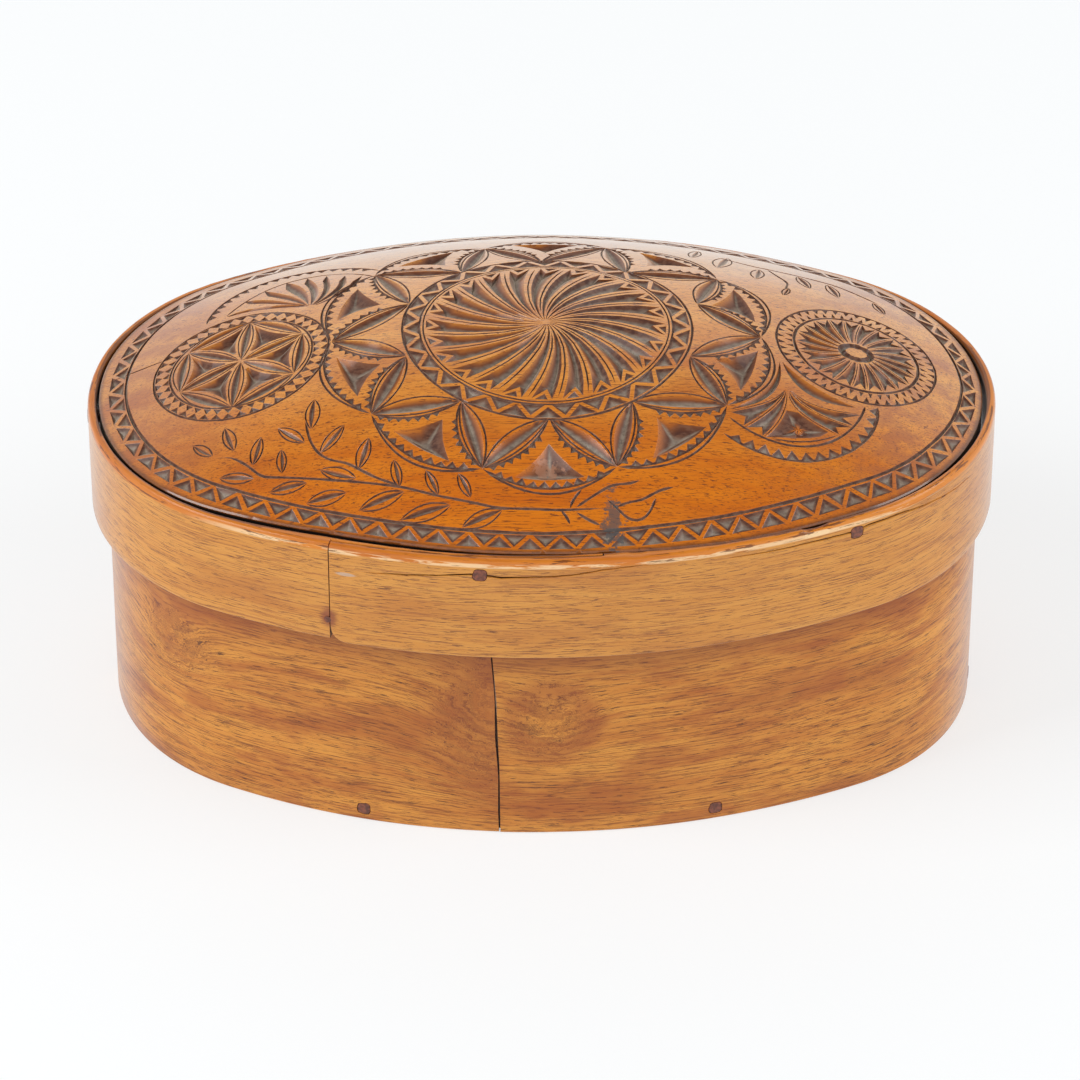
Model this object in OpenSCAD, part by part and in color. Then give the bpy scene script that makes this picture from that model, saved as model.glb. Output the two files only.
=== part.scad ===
// Oval bentwood box with a lift-off lid.
// Two strips of thin wood are bent round oval boards, lapped at the front and pegged.
// The lid board is domed, hollowed underneath and carved on top.
// Millimetres, +Z up, origin on the table under the middle of the oval.

/* [Oval] */
// Length over the lid band
lid_length = 304; // [290:1:330]
// Width over the lid band
lid_width = 199; // [192:1:208]
// Radius of the two round ends at the outer face of the lid band
end_radius = 82; // [76:1:88]

/* [Lid] */
// Height of the lid band
lid_band_height = 38.3; // [30:0.1:50]
// Thickness of the lid band
lid_wall = 4.4; // [3.5:0.1:5.5]
// Air between the lid band and the base band
lid_clearance = 1.3; // [0.6:0.1:2.5]
// How far the lid band stands above the edge of the carved board
lid_rim_rise = 1.5; // [0.5:0.1:4]
// Rounding of the lid band's worn upper corners
lid_rim_round = 1.5; // [0.5:0.1:1.7]
// Rounding of the lower corners of the lid band
lid_foot_round = 0.6; // [0.2:0.1:1.2]

/* [Lid board] */
// Thickness of the lid board at its edge
lid_board_edge = 8.4; // [7:0.1:12]
// Height of the dome above the edge of the board
dome_rise = 30; // [20:0.5:36]
// Shape of the dome, where 2 is a parabola and more is flatter on top
dome_power = 2.05; // [1.8:0.05:2.6]
// Shrinkage gap between the board and the band at the two ends
board_gap_end = 1.2; // [0.3:0.1:2]
// Gap between the board and the band along the sides
board_gap_side = 0.2; // [0.1:0.1:0.8]
// Width of the flat ledge left under the board outside the hollow
hollow_ledge = 17; // [14:0.5:24]
// Wood left above the hollow at the top of the dome
crown_wall = 12; // [8:0.5:18]
// Gap between the underside of the board and the base band it rests on
seat_gap = 0.2; // [0.1:0.1:0.5]

/* [Base] */
// Height of the base band
base_height = 104; // [90:1:120]
// Thickness of the base band
base_wall = 3.8; // [3:0.1:5]
// Thickness of the bottom board
base_board_thick = 9; // [7:0.5:14]
// Gap between the bottom board and the base band
base_board_gap = 0.15; // [0.1:0.05:0.5]
// Rounding of the base band's corners
base_round = 0.6; // [0.2:0.1:1.2]

/* [Laps] */
// Distance from the middle of the front to the outer end of the lid band, to the left
lid_lap_start = 70.5; // [50:0.5:90]
// Distance from the middle of the front to the inner end of the lid band, to the right
lid_lap_end = 19; // [5:0.5:60]
// Distance from the middle of the front to the outer end of the base band, to the left
base_lap_start = 16; // [5:0.5:60]
// Distance from the middle of the front to the inner end of the base band, to the right
base_lap_end = 74; // [50:0.5:90]
// Lean of the base band's outer end from upright, in degrees
base_lap_lean = 2.2; // [0:0.1:4]
// Open joint in front of each outer end
lap_gap = 0.5; // [0.3:0.1:1]
// Open line between the two layers of a lap
lap_line = 0.2; // [0.15:0.05:0.4]
// Share of the wall in the outer layer at its own end
outer_layer_share = 0.6; // [0.4:0.05:0.7]
// Share of the wall in the inner layer at its own end
inner_layer_share = 0.3; // [0.2:0.05:0.5]
// Rounding of the lower corner at the lid band's outer end
lap_corner = 4; // [1:0.5:8]

/* [Pegs] */
// Diameter of the wooden pegs
peg_diameter = 4.8; // [3:0.1:6]
// Depth that a peg goes into a board
peg_depth = 12; // [6:0.5:13]
// Clearance all round a peg in its hole
peg_clearance = 0.05; // [0.03:0.01:0.1]
// How far a peg's head stands proud of the band
peg_proud = 0; // [0:0.05:0.5]
// Height of the lid pegs above the underside of the lid board
lid_peg_height = 4.2; // [3.5:0.1:4.5]
// Height of the base pegs above the table
base_peg_height = 4.5; // [3.5:0.1:5]
// Diameter of the small peg through the lid band's lap
lap_peg_diameter = 2.4; // [1.5:0.1:3]
// Height of the small peg above the lower edge of the lid band
lap_peg_height = 8.5; // [5:0.5:20]
// Distance of the small peg's middle from the lid band's outer end
lap_peg_offset = 0.3; // [0.1:0.1:3]

/* [Border carving] */
// Number of teeth in the zigzag round the edge of the lid board
border_teeth = 76; // [60:1:90]
// Distance of the zigzag from the edge of the board
border_margin = 1.1; // [0.8:0.1:2]
// Width of the band that the zigzag fills
border_band = 7.2; // [5:0.1:9]
// Width of the raised zigzag ribbon
border_ribbon = 1.5; // [1:0.1:2]
// Depth of the border's pits
border_depth = 1.7; // [0.8:0.1:2.5]

/* [Central rosette] */
// Place of the rosette's middle to the right of the board's middle
rosette_x = 1.5; // [-10:0.1:10]
// Place of the rosette's middle behind the board's middle
rosette_y = 0.3; // [-10:0.1:10]
// Number of flutes in the rosette
rosette_flutes = 24; // [16:1:30]
// Distance from the middle to the flutes' outer ends
rosette_reach = 36.5; // [30:0.5:37]
// Turn of a flute between the middle and its outer end, in degrees
rosette_turn = 24; // [0:1:30]
// Width of the ridge left between two flutes
rosette_ridge = 2.4; // [1:0.1:3]
// Depth of the flutes
rosette_depth = 1.9; // [1:0.1:2.5]
// Number of teeth in the ring round the flutes
rosette_teeth = 26; // [18:1:36]
// Radius of the ring's inner line
rosette_ring_low = 41.8; // [41:0.1:45]
// Radius of the ring's outer line
rosette_ring_high = 47.2; // [46:0.1:50]

/* [Lobes] */
// Number of lobes round the rosette
lobe_count = 10; // [8:1:12]
// Distance from the rosette's middle to the leaves' inner tips
lobe_low = 48.6; // [48:0.1:52]
// Distance from the rosette's middle to the leaves' outer tips
lobe_high = 70.5; // [66:0.5:74]
// Half the width of a leaf
leaf_half = 3.1; // [2:0.1:4]
// Depth of a leaf
leaf_depth = 1.9; // [1:0.1:2.5]
// Distance from the rosette's middle to the inner corner of a lobe's pit
pit_low = 57.5; // [56:0.5:60]
// Distance from the rosette's middle to the outer corners of a lobe's pit
pit_high = 68; // [64:0.5:70]
// Half the width of a lobe's pit at its outer side
pit_half = 9.6; // [6:0.1:11]
// Depth of a lobe's pit
pit_depth = 3.2; // [2:0.1:4]

/* [Star] */
// Place of the star's middle to the left of the board's middle
star_x = 100; // [95:0.5:104]
// Place of the star's middle before the board's middle
star_y = 3; // [-5:0.5:8]
// Radius of the circle through the star's tips
star_radius = 22.8; // [18:0.1:23]
// Depth of the star's leaves
star_depth = 1.9; // [1:0.1:2.5]
// Radius of the inner line of the ring of teeth
star_ring_low = 24.3; // [23.5:0.1:26]
// Radius of the outer line of the ring of teeth
star_ring_high = 28.5; // [27:0.1:30]
// Number of teeth in the ring
star_teeth = 42; // [24:1:46]

/* [Wheel] */
// Place of the wheel's middle to the right of the board's middle
wheel_x = 105; // [100:0.5:106]
// Place of the wheel's middle behind the board's middle
wheel_y = 1.5; // [-5:0.5:5]
// Number of flutes in the wheel
wheel_flutes = 21; // [16:1:30]
// Radius of the flutes' inner ends
wheel_flute_low = 6; // [5:0.5:9]
// Radius of the flutes' outer ends
wheel_flute_high = 19; // [16:0.5:20]
// Radius of the inner line of the ring of teeth
wheel_ring_low = 21.6; // [21:0.1:23]
// Radius of the outer line of the ring of teeth
wheel_ring_high = 26; // [25:0.1:28]
// Number of teeth in the ring
wheel_teeth = 44; // [30:1:48]

/* [Fans] */
// Places of the back fan's focus and of the middle of its toothed arc
back_fan_x = -77.5; // [-82:0.5:-74]
back_fan_y = 24.5; // [20:0.5:28]
// Radius of the back fan's toothed arc
back_arc = 33.5; // [30:0.5:36]
// Number of teeth in the back fan's arc
back_teeth = 16; // [12:1:20]
// Places of the front fan's focus and of the middle of its toothed arc
front_fan_x = 80.5; // [76:0.5:84]
front_fan_y = -25; // [-30:0.5:-22]
// Radius of the front fan's toothed arc
front_arc = 29.5; // [26:0.5:32]
// Number of teeth in the front fan's arc
front_teeth = 14; // [10:1:18]
// Depth of the fans' flutes
fan_depth = 1.9; // [1:0.1:2.5]

/* [Hidden] */

$fn = 180;
// A small overlap that makes one solid cut cleanly through another
cut = 1;
// Distance past the junctions at which the sides begin, and half of what the ends run on
run_on = 1.5;
// Steps in each rounded corner of a band
corner_steps = 4;
// How far the rounded lower corner crosses the lower edge, so that it doesn't just touch it
corner_dip = 0.05;
// How far the small peg stays short of the band's inner face
spare_end = 0.2;
// How far every cut of the knife is carried on above the wood, so that it opens cleanly
cut_lift = 0.6;
// Width of the ribbons left between small teeth, and their depth
tooth_ribbon = 1.2;
tooth_depth = 1.2;
// Share of a single tooth's step that is left uncut at each end
tooth_gap = 0.06;
// Height of a cut's tip above the wood, which keeps it from just touching
tip_lift = 0.02;
// Slices round the oval and rings from the edge to the middle of the domed board
dome_slices = 48;
dome_rings = 6;
hollow_rings = 4;
// Sides of the peg holes in the domed board, which has flat facets all over
board_hole_sides = 16;

// Places of the pegs round the oval, as shares of its length from the middle of the front
lid_peg_places = [-0.025, 0.137, 0.3, 0.465, 0.61, 0.755];
base_peg_places = [-0.078, 0.073, 0.235, 0.4, 0.57, 0.745];

// The oval is four arcs: two ends and two sides that meet with no corner
end_centre = lid_length / 2 - end_radius;
side_radius = (pow(end_centre, 2) + pow(lid_width / 2, 2) - pow(end_radius, 2))
    / (2 * (lid_width / 2 - end_radius));
side_centre = side_radius - lid_width / 2;
junction = atan2(side_centre, end_centre);

// Insets of each face from the outer face of the lid band
base_inset = lid_wall + lid_clearance;
inside_inset = base_inset + base_wall;

// Levels above the table
lid_board_low = base_height + seat_gap;
lid_board_top = lid_board_low + lid_board_edge;
lid_band_top = lid_board_top + lid_rim_rise;
lid_band_low = lid_band_top - lid_band_height;

// The lid board's own oval, which shrinkage has left a little shorter than the band
board_length = lid_length / 2 - lid_wall - board_gap_end;
board_width = lid_width / 2 - lid_wall - board_gap_side;
board_end = end_radius - lid_wall - board_gap_side;
hollow_rise = lid_board_edge + dome_rise - crown_wall;

wood_light = "#c98f45";
wood_warm = "#b8702c";
wood_lid = "#c07832";
wood_peg = "#6b3a22";

// Points of a rounded corner about a centre, turning a quarter circle from an angle
function corner(x, z, radius, from) =
    [for (i = [0 : corner_steps])
        let (a = from + 90 * i / corner_steps) [x + radius * cos(a), z + radius * sin(a)]];

// Distance from the middle to a four-arc oval in one direction
function oval_reach(length, width, radius, angle) =
    let (
        near = length - radius,
        wide = (near * near + width * width - radius * radius) / (2 * (width - radius)),
        far = wide - width,
        turn = atan2(far, near),
        knee = atan2(radius * sin(turn), near + radius * cos(turn)),
        c = abs(cos(angle)),
        s = abs(sin(angle))
    )
    atan2(s, c) < knee
        ? near * c + sqrt(radius * radius - near * near * s * s)
        : sqrt(wide * wide - far * far * c * c) - far * s;

// Arc lengths of half a side and half an end at an inset
function half_side(inset) = (side_radius - inset) * (90 - junction) * PI / 180;
function half_end(inset) = (end_radius - inset) * junction * PI / 180;

// Place and outward direction at a share of the way round, from the middle of the front
function oval_spot(share, inset) =
    let (
        side = half_side(inset),
        end = half_end(inset),
        whole = 4 * (side + end),
        way = whole * (share - floor(share + 0.25)),
        over = way > side + 2 * end,
        run = over ? way - 2 * (side + end) : way,
        on_side = abs(run) <= side,
        turn = on_side
            ? -90 + run / (side_radius - inset) * 180 / PI
            : run > 0
                ? -junction + (run - side) / (end_radius - inset) * 180 / PI
                : 180 + junction + (run + side) / (end_radius - inset) * 180 / PI,
        centre = on_side ? [0, side_centre] : [run > 0 ? end_centre : -end_centre, 0],
        radius = (on_side ? side_radius : end_radius) - inset,
        spot = centre + radius * [cos(turn), sin(turn)]
    )
    over ? [-spot.x, -spot.y, turn + 180] : [spot.x, spot.y, turn];

// Section of a band between two radii, with rounded corners
module strip_profile(inner, outer, low, high, rim, foot) {
    polygon(concat(
        corner(outer - rim, high - rim, rim, 0),
        corner(inner + rim, high - rim, rim, 90),
        corner(inner + foot, low + foot, foot, 180),
        corner(outer - foot, low + foot, foot, 270)
    ));
}

// A strip bent into the oval: two ends and two sides swept round their own centres.
// Each end runs on a little way inside the wood of the sides, so the strip is one piece.
module bent_strip(inset, wall, low, high, rim, foot) {
    end_turn = junction + 2 * run_on / end_radius * 180 / PI;
    side_turn = 90 - junction - run_on / side_radius * 180 / PI;
    for (half = [0, 180]) rotate(half) {
        translate([end_centre, 0]) rotate(-end_turn) rotate_extrude(angle = 2 * end_turn)
            strip_profile(end_radius - inset - wall, end_radius - inset, low, high, rim, foot);
        translate([0, -side_centre]) rotate(90 - side_turn) rotate_extrude(angle = 2 * side_turn)
            strip_profile(side_radius - inset - wall, side_radius - inset, low, high, rim, foot);
    }
}

// A flat oval board at an inset from the outer face of the lid band: a disc for each end,
// and for each side a slice of a wide disc that reaches back past the middle
module oval_board(inset, low, high) {
    turn = junction + run_on / side_radius * 180 / PI;
    far = end_centre + 2 * side_radius * cos(turn);
    back = end_centre - end_radius / 2 / tan(turn);
    translate([0, 0, low]) linear_extrude(high - low) for (half = [0, 180]) rotate(half) {
        translate([end_centre, 0]) circle(end_radius - inset);
        intersection() {
            translate([0, -side_centre]) circle(side_radius - inset);
            polygon([[-back, -end_radius / 2], [back, -end_radius / 2],
                [far, 2 * side_radius * sin(turn)], [-far, 2 * side_radius * sin(turn)]]);
        }
    }
}

// Everything cut away to part the two layers of a lap in the front of a band
module lap_cuts(inset, wall, low, high, start, end, lean) {
    outer = side_radius - inset;
    from = -asin(start / outer);
    to = asin(end / outer);
    middle = (from + to) / 2;
    // The line between the layers is an arc whose centre is shifted along the front,
    // so that it climbs through the wall from one end of the lap to the other
    depth_from = outer - wall * outer_layer_share;
    depth_to = outer - wall * (1 - inner_layer_share);
    shift = (depth_to - depth_from) / (2 * sin((to - from) / 2));
    radius = (depth_from + depth_to) / 2;
    height = high - low + 2 * cut;
    spread = 2 * outer;
    translate([0, side_centre, low - cut]) {
        rotate(middle) linear_extrude(height) intersection() {
            translate([shift, 0]) difference() {
                circle(radius + lap_line / 2);
                circle(radius - lap_line / 2);
            }
            polygon([[0, 0],
                spread * [-sin((to - from) / 2), -cos((to - from) / 2)],
                spread * [sin((to - from) / 2), -cos((to - from) / 2)]]);
        }
        rotate(from) translate([0, -depth_from, height / 2]) rotate([0, -lean, 0])
            translate([-lap_gap / 2, -wall, -height])
                cube([lap_gap, wall, 2 * height]);
        rotate(to) translate([-lap_gap / 2, -depth_to, 0])
            cube([lap_gap, wall, height]);
    }
}

// Rounds off the lower corner at the lid band's outer end
module lap_corner_cut() {
    from = -asin(lid_lap_start / side_radius);
    depth = side_radius - lid_wall * outer_layer_share;
    translate([0, side_centre, lid_band_low]) rotate(from) translate([lap_gap / 2, -depth, 0])
        rotate([90, 0, 0]) linear_extrude(lid_wall) difference() {
            translate([-lap_gap, -cut]) square([lap_corner + lap_gap, lap_corner + cut]);
            translate([lap_corner, lap_corner - corner_dip]) circle(lap_corner, $fn = 48);
        }
}

// A round peg or its hole, pointing outward from the oval at a share of the way round
module at_rim(share, inset, height) {
    spot = oval_spot(share, inset);
    translate([spot.x, spot.y, height]) rotate(spot[2]) rotate([0, 90, 0]) children();
}

module pegs(places, inset, wall, height, spare, sides = 32) {
    for (share = places)
        at_rim(share, inset, height)
            translate([0, 0, -wall - peg_depth - spare])
                cylinder(d = peg_diameter + 2 * spare,
                    h = wall + peg_depth + peg_proud + (spare > 0 ? cut : 0) + spare, $fn = sides);
}

module lid_peg_holes() {
    pegs(lid_peg_places, 0, lid_wall, lid_board_low + lid_peg_height, peg_clearance);
}

// In the board a hole's flat sides lie as far out as the round hole in the band
module board_peg_holes() {
    spare = (peg_diameter / 2 + peg_clearance) / cos(180 / board_hole_sides) - peg_diameter / 2;
    pegs(lid_peg_places, 0, lid_wall, lid_board_low + lid_peg_height, spare, board_hole_sides);
}

module base_peg_holes() {
    pegs(base_peg_places, base_inset, base_wall, base_peg_height, peg_clearance);
}

// The small peg is driven in beside the lid band's outer end, a little to its left
lap_peg_share = -(asin(lid_lap_start / side_radius) * PI / 180 * side_radius + lap_peg_offset)
    / (4 * (half_side(0) + half_end(0)));

// The peg stays just short of the inner face; its hole goes clear through the band
module small_peg(spare) {
    back = spare > 0 ? cut : -spare_end;
    at_rim(lap_peg_share, 0, lid_band_low + lap_peg_height)
        translate([0, 0, -lid_wall - back])
            cylinder(d = lap_peg_diameter + 2 * spare,
                h = lid_wall + back + peg_proud + (spare > 0 ? cut : 0), $fn = 24);
}

// One ring of the lid board's outline, drawn in to a share of its size
function board_ring(share, z) =
    [for (i = [0 : dome_slices - 1])
        let (a = 360 * i / dome_slices, r = share * oval_reach(board_length, board_width, board_end, a))
        [r * cos(a), r * sin(a), z]];

// One ring of the hollow's outline, drawn in to a share of its size
function hollow_ring(share, z) =
    [for (i = [0 : dome_slices - 1])
        let (
            a = 360 * i / dome_slices,
            r = share * oval_reach(board_length - hollow_ledge, board_width - hollow_ledge,
                board_end - hollow_ledge, a)
        )
        [r * cos(a), r * sin(a), z]];

// Heights of the dome and of the hollow at a share of the way from the middle to the edge
function dome_height(share) = lid_board_top + dome_rise * (1 - pow(share, dome_power));
function hollow_height(share) = lid_board_low + hollow_rise * (1 - share * share);

// A closed skin through a stack of rings, with a point at each end
module ringed_solid(rings, first, last) {
    count = len(rings);
    sides = len(rings[0]);
    points = concat([first], [for (ring = rings) each ring], [last]);
    end = len(points) - 1;
    faces = concat(
        [for (i = [0 : sides - 1]) [0, 1 + (i + 1) % sides, 1 + i]],
        [for (k = [0 : count - 2], i = [0 : sides - 1])
            let (a = 1 + k * sides + i, b = 1 + k * sides + (i + 1) % sides)
            each [[a, b, b + sides], [a, b + sides, a + sides]]],
        [for (i = [0 : sides - 1])
            [end, 1 + (count - 1) * sides + i, 1 + (count - 1) * sides + (i + 1) % sides]]
    );
    polyhedron(points, faces, convexity = 6);
}

module domed_blank() {
    rings = concat(
        [for (k = [1 : dome_rings]) board_ring(k / dome_rings, dome_height(k / dome_rings))],
        [board_ring(1, lid_board_low)],
        [for (k = [0 : hollow_rings - 1])
            hollow_ring(1 - k / hollow_rings, hollow_height(1 - k / hollow_rings))]
    );
    ringed_solid(rings, [0, 0, dome_height(0)], [0, 0, hollow_height(0)]);
}

// Height of the uncarved dome over a point of the plan
function dome_at(p) =
    dome_height(norm(p) / oval_reach(board_length, board_width, board_end, atan2(p.y, p.x)));

// Point of the plan at a distance and direction from a middle
function around(middle, radius, turn) = middle + radius * [cos(turn), sin(turn)];

// A point above or below the uncarved dome
function off_dome(p, lift) = [p.x, p.y, dome_at(p) + lift];

// Corners of a V section across a cut, carried on above the wood
function cut_section(place, along, half, depth) =
    let (
        side = half / norm(along) * [-along.y, along.x],
        more = side * cut_lift / depth
    )
    [
        off_dome(place + side, cut_lift) + [more.x, more.y, 0],
        off_dome(place, -depth),
        off_dome(place - side, cut_lift) - [more.x, more.y, 0]
    ];

// A V cut from tip to tip along a line of places, with half its width and its depth at each
module knife_cut(line, halves, depths) {
    last = len(line) - 1;
    ringed_solid(
        [for (i = [1 : last - 1]) cut_section(line[i], line[i + 1] - line[i - 1], halves[i], depths[i])],
        off_dome(line[0], tip_lift), off_dome(line[last], tip_lift)
    );
}

// A pit whose sides slope from an outline down to one deepest point
module pit(outline, deepest, depth) {
    points = concat(
        [for (p = outline)
            let (more = (p - deepest) * cut_lift / depth) off_dome(p, cut_lift) + [more.x, more.y, 0]],
        [off_dome(deepest, -depth)]
    );
    hull() polyhedron(points, [[for (i = [0 : len(points) - 1]) i]]);
}

module three_cornered_pit(a, b, c, depth) {
    pit([a, b, c], (a + b + c) / 3, depth);
}

// A leaf cut between two tips
module leaf(from, to, half, depth) {
    steps = [0, 0.22, 0.5, 0.78, 1];
    knife_cut([for (t = steps) from + (to - from) * t],
        [for (t = steps) half * sin(180 * t)], [for (t = steps) depth * sin(180 * t)]);
}

// Corners of the pits on both sides of a zigzag, as places along it in teeth and heights
// between its two lines. The pits leave a ribbon of one width standing between them.
function zigzag_pits(count, pitch, low, high, ribbon) =
    let (
        rise = abs(high - low),
        slant = sqrt(pitch * pitch / 4 + rise * rise),
        trim = ribbon / 2 * slant / rise / pitch,
        drop = ribbon * slant / pitch * sign(high - low)
    )
    [for (i = [0 : count - 1]) each [
        [[i + trim, high], [i + 1 - trim, high], [i + 0.5, low + drop]],
        [[i - 0.5 + trim, low], [i + 0.5 - trim, low], [i, high - drop]]
    ]];

// A ring of zigzag teeth round a middle
module ring_zigzag(middle, count, low, high) {
    pitch = PI * (low + high) / count;
    for (pit = zigzag_pits(count, pitch, low, high, tooth_ribbon)) {
        corners = [for (p = pit) around(middle, p[1], 360 * p[0] / count)];
        three_cornered_pit(corners[0], corners[1], corners[2], tooth_depth);
    }
}

// A row of single teeth along an arc, with their points toward its middle
module tooth_arc(middle, radius, rise, from, to, count) {
    step = (to - from) / count;
    for (i = [0 : count - 1]) {
        turn = from + step * i;
        three_cornered_pit(around(middle, radius, turn + step * tooth_gap),
            around(middle, radius, turn + step * (1 - tooth_gap)),
            around(middle, radius - rise, turn + step / 2), tooth_depth);
    }
}

// Point of the board at a share of the way round and a distance in from its edge
function on_border(share, inset) =
    let (spot = oval_spot(share, lid_wall + board_gap_side + inset))
    [spot.x * board_length / (lid_length / 2 - lid_wall - board_gap_side), spot.y];

// Zigzag round the edge of the board
module border_carving() {
    high = border_margin;
    low = border_margin + border_band;
    whole = 4 * (half_side(lid_wall + (low + high) / 2) + half_end(lid_wall + (low + high) / 2));
    for (pit = zigzag_pits(border_teeth, whole / border_teeth, low, high, border_ribbon)) {
        corners = [for (p = pit) on_border(p[0] / border_teeth, p[1])];
        three_cornered_pit(corners[0], corners[1], corners[2], border_depth);
    }
}

// Whirling flutes inside a ring of teeth
module rosette_carving() {
    middle = [rosette_x, rosette_y];
    half_turn = 180 / rosette_flutes;
    steps = [0.15, 0.45, 0.75, 0.9, 1];
    halves = [for (t = steps) t * rosette_reach * tan(half_turn) - rosette_ridge / 2];
    base = rosette_ring_low - tooth_ribbon;
    for (i = [0 : rosette_flutes - 1]) {
        turn = 2 * half_turn * i - rosette_turn;
        knife_cut([for (t = steps) around(middle, t * rosette_reach, turn + rosette_turn * (1 - t))],
            halves, rosette_depth * [0, 0.6, 1, 0.9, 0]);
        three_cornered_pit(around(middle, base, turn - half_turn / 2),
            around(middle, base, turn + half_turn / 2),
            around(middle, rosette_reach + tooth_ribbon, turn), tooth_depth);
    }
    ring_zigzag(middle, rosette_teeth, rosette_ring_low, rosette_ring_high);
}

// Ring of lobes, each of two leaves and a deep pit with three sides
module lobe_carving() {
    middle = [rosette_x, rosette_y];
    step = 360 / lobe_count;
    for (i = [0 : lobe_count - 1]) {
        turn = step * i - 90;
        for (side = [-1, 1])
            leaf(around(middle, lobe_low, turn), around(middle, lobe_high, turn + side * step / 2),
                leaf_half, leaf_depth);
        spread = asin(pit_half / pit_high);
        pit([around(middle, pit_low, turn), around(middle, pit_high, turn - spread),
            around(middle, pit_high + 1, turn), around(middle, pit_high, turn + spread)],
            around(middle, (pit_low + 2 * pit_high) / 3, turn), pit_depth);
    }
}

// Star of six leaves in a ring of teeth
module star_carving() {
    middle = [-star_x, -star_y];
    half = star_radius * (1 - cos(30)) * 0.9;
    for (i = [0 : 5]) {
        turn = 60 * i - 96;
        tip = around(middle, star_radius, turn);
        next = around(middle, star_radius, turn + 60);
        leaf(around(middle, 1, turn), tip, half, star_depth);
        leaf(tip + (next - tip) * 0.04, next + (tip - next) * 0.04, half, star_depth);
        deepest = (middle + tip + next) / 3;
        three_cornered_pit((middle + deepest) / 2, (tip + deepest) / 2, (next + deepest) / 2, star_depth);
    }
    ring_zigzag(middle, star_teeth, star_ring_low, star_ring_high);
}

// Wheel of small flutes round a boss, in a ring of teeth
module wheel_carving() {
    middle = [wheel_x, wheel_y];
    half = wheel_flute_high * tan(180 / wheel_flutes) * 0.6;
    for (i = [0 : wheel_flutes - 1])
        knife_cut([for (t = [0, 0.3, 0.7, 1])
            around(middle, wheel_flute_low + (wheel_flute_high - wheel_flute_low) * t,
                360 / wheel_flutes * i - 6 * t)],
            half * [0, 0.5, 1, 0], tooth_depth * [0, 0.7, 1, 0]);
    ring_zigzag(middle, wheel_teeth, wheel_ring_low, wheel_ring_high);
}

// Fans of flutes that spread from a focus to a toothed arc
module fan_carving() {
    back = [back_fan_x, back_fan_y];
    for (turn = [160 : -17.5 : 37])
        leaf(back, around(back, 29 - abs(turn - 99) / 30, turn), 2.4, fan_depth);
    tooth_arc(back + [-2.5, 5], back_arc, 5, 178, 36, back_teeth);
    front = [front_fan_x, front_fan_y];
    for (turn = [-133, -115, -46, -26])
        leaf(front, around(front, 24, turn), 2.2, fan_depth);
    three_cornered_pit(front + [0.5, -6], front + [-6, -23], front + [14, -19], fan_depth);
    tooth_arc(front, front_arc, 4, 0, -137, front_teeth);
    // Two long crescents, one along the wheel and one along the nearest lobe
    for (line = [[[79.5, -13], [83, -20], [91, -26], [102, -28.5]],
        [[78.5, -12], [76.5, -22], [70, -32], [60.5, -39.5]]])
        knife_cut(line, [0, 2, 2, 0], fan_depth * [0, 1, 1, 0]);
}

// Flat oval bottom, let in flush with the base band's lower edge
module base_board() {
    color(wood_warm) difference() {
        oval_board(inside_inset + base_board_gap, 0, base_board_thick);
        base_peg_holes();
    }
}

// Bent strip that forms the wall of the box
module base_band() {
    color(wood_warm) difference() {
        bent_strip(base_inset, base_wall, 0, base_height, base_round, base_round);
        lap_cuts(base_inset, base_wall, 0, base_height, base_lap_start, base_lap_end, base_lap_lean);
        base_peg_holes();
    }
}

// Wooden pegs through the base band into the bottom board
module base_pegs() {
    color(wood_peg) pegs(base_peg_places, base_inset, base_wall, base_peg_height, 0);
}

// Domed board, hollowed underneath and chip carved on top
module lid_board() {
    color(wood_lid) difference() {
        domed_blank();
        board_peg_holes();
        border_carving();
        rosette_carving();
        lobe_carving();
        star_carving();
        wheel_carving();
        fan_carving();
    }
}

// Bent strip round the lid, which slides down outside the base band
module lid_band() {
    color(wood_light) difference() {
        bent_strip(0, lid_wall, lid_band_low, lid_band_top, lid_rim_round, lid_foot_round);
        lap_cuts(0, lid_wall, lid_band_low, lid_band_top, lid_lap_start, lid_lap_end, 0);
        lap_corner_cut();
        lid_peg_holes();
        small_peg(peg_clearance);
    }
}

// Wooden pegs through the lid band into the edge of the domed board
module lid_pegs() {
    color(wood_peg) pegs(lid_peg_places, 0, lid_wall, lid_board_low + lid_peg_height, 0);
}

// Small peg through the lid band's lap
module lid_lap_peg() {
    color(wood_peg) small_peg(0);
}

base_board();
base_band();
base_pegs();
lid_board();
lid_band();
lid_pegs();
lid_lap_peg();
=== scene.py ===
import cmath
import math
import random

import bpy
import numpy as np
from mathutils import Matrix, Vector, kdtree, noise
from mathutils.geometry import delaunay_2d_cdt


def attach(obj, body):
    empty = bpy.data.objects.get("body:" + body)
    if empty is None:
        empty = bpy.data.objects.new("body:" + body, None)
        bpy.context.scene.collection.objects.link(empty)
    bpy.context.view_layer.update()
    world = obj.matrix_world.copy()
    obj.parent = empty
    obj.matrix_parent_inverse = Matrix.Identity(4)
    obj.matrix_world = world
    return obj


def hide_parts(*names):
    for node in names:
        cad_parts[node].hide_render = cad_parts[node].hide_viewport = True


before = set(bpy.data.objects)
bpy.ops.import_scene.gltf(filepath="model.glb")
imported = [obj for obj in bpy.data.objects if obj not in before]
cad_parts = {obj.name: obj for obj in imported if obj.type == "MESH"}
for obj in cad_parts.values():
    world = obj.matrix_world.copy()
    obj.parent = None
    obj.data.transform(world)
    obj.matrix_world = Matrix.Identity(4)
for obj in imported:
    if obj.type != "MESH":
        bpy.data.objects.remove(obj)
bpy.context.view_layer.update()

# Camera: a long lens in front of the box, looking down at the lid from a little above.
# The box stands a touch turned to it.
MM = 0.001
CAMERA_TILT = 0.61
CAMERA_TURN = 0.01386
CAMERA_DISTANCE = 2022.3 * MM
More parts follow.
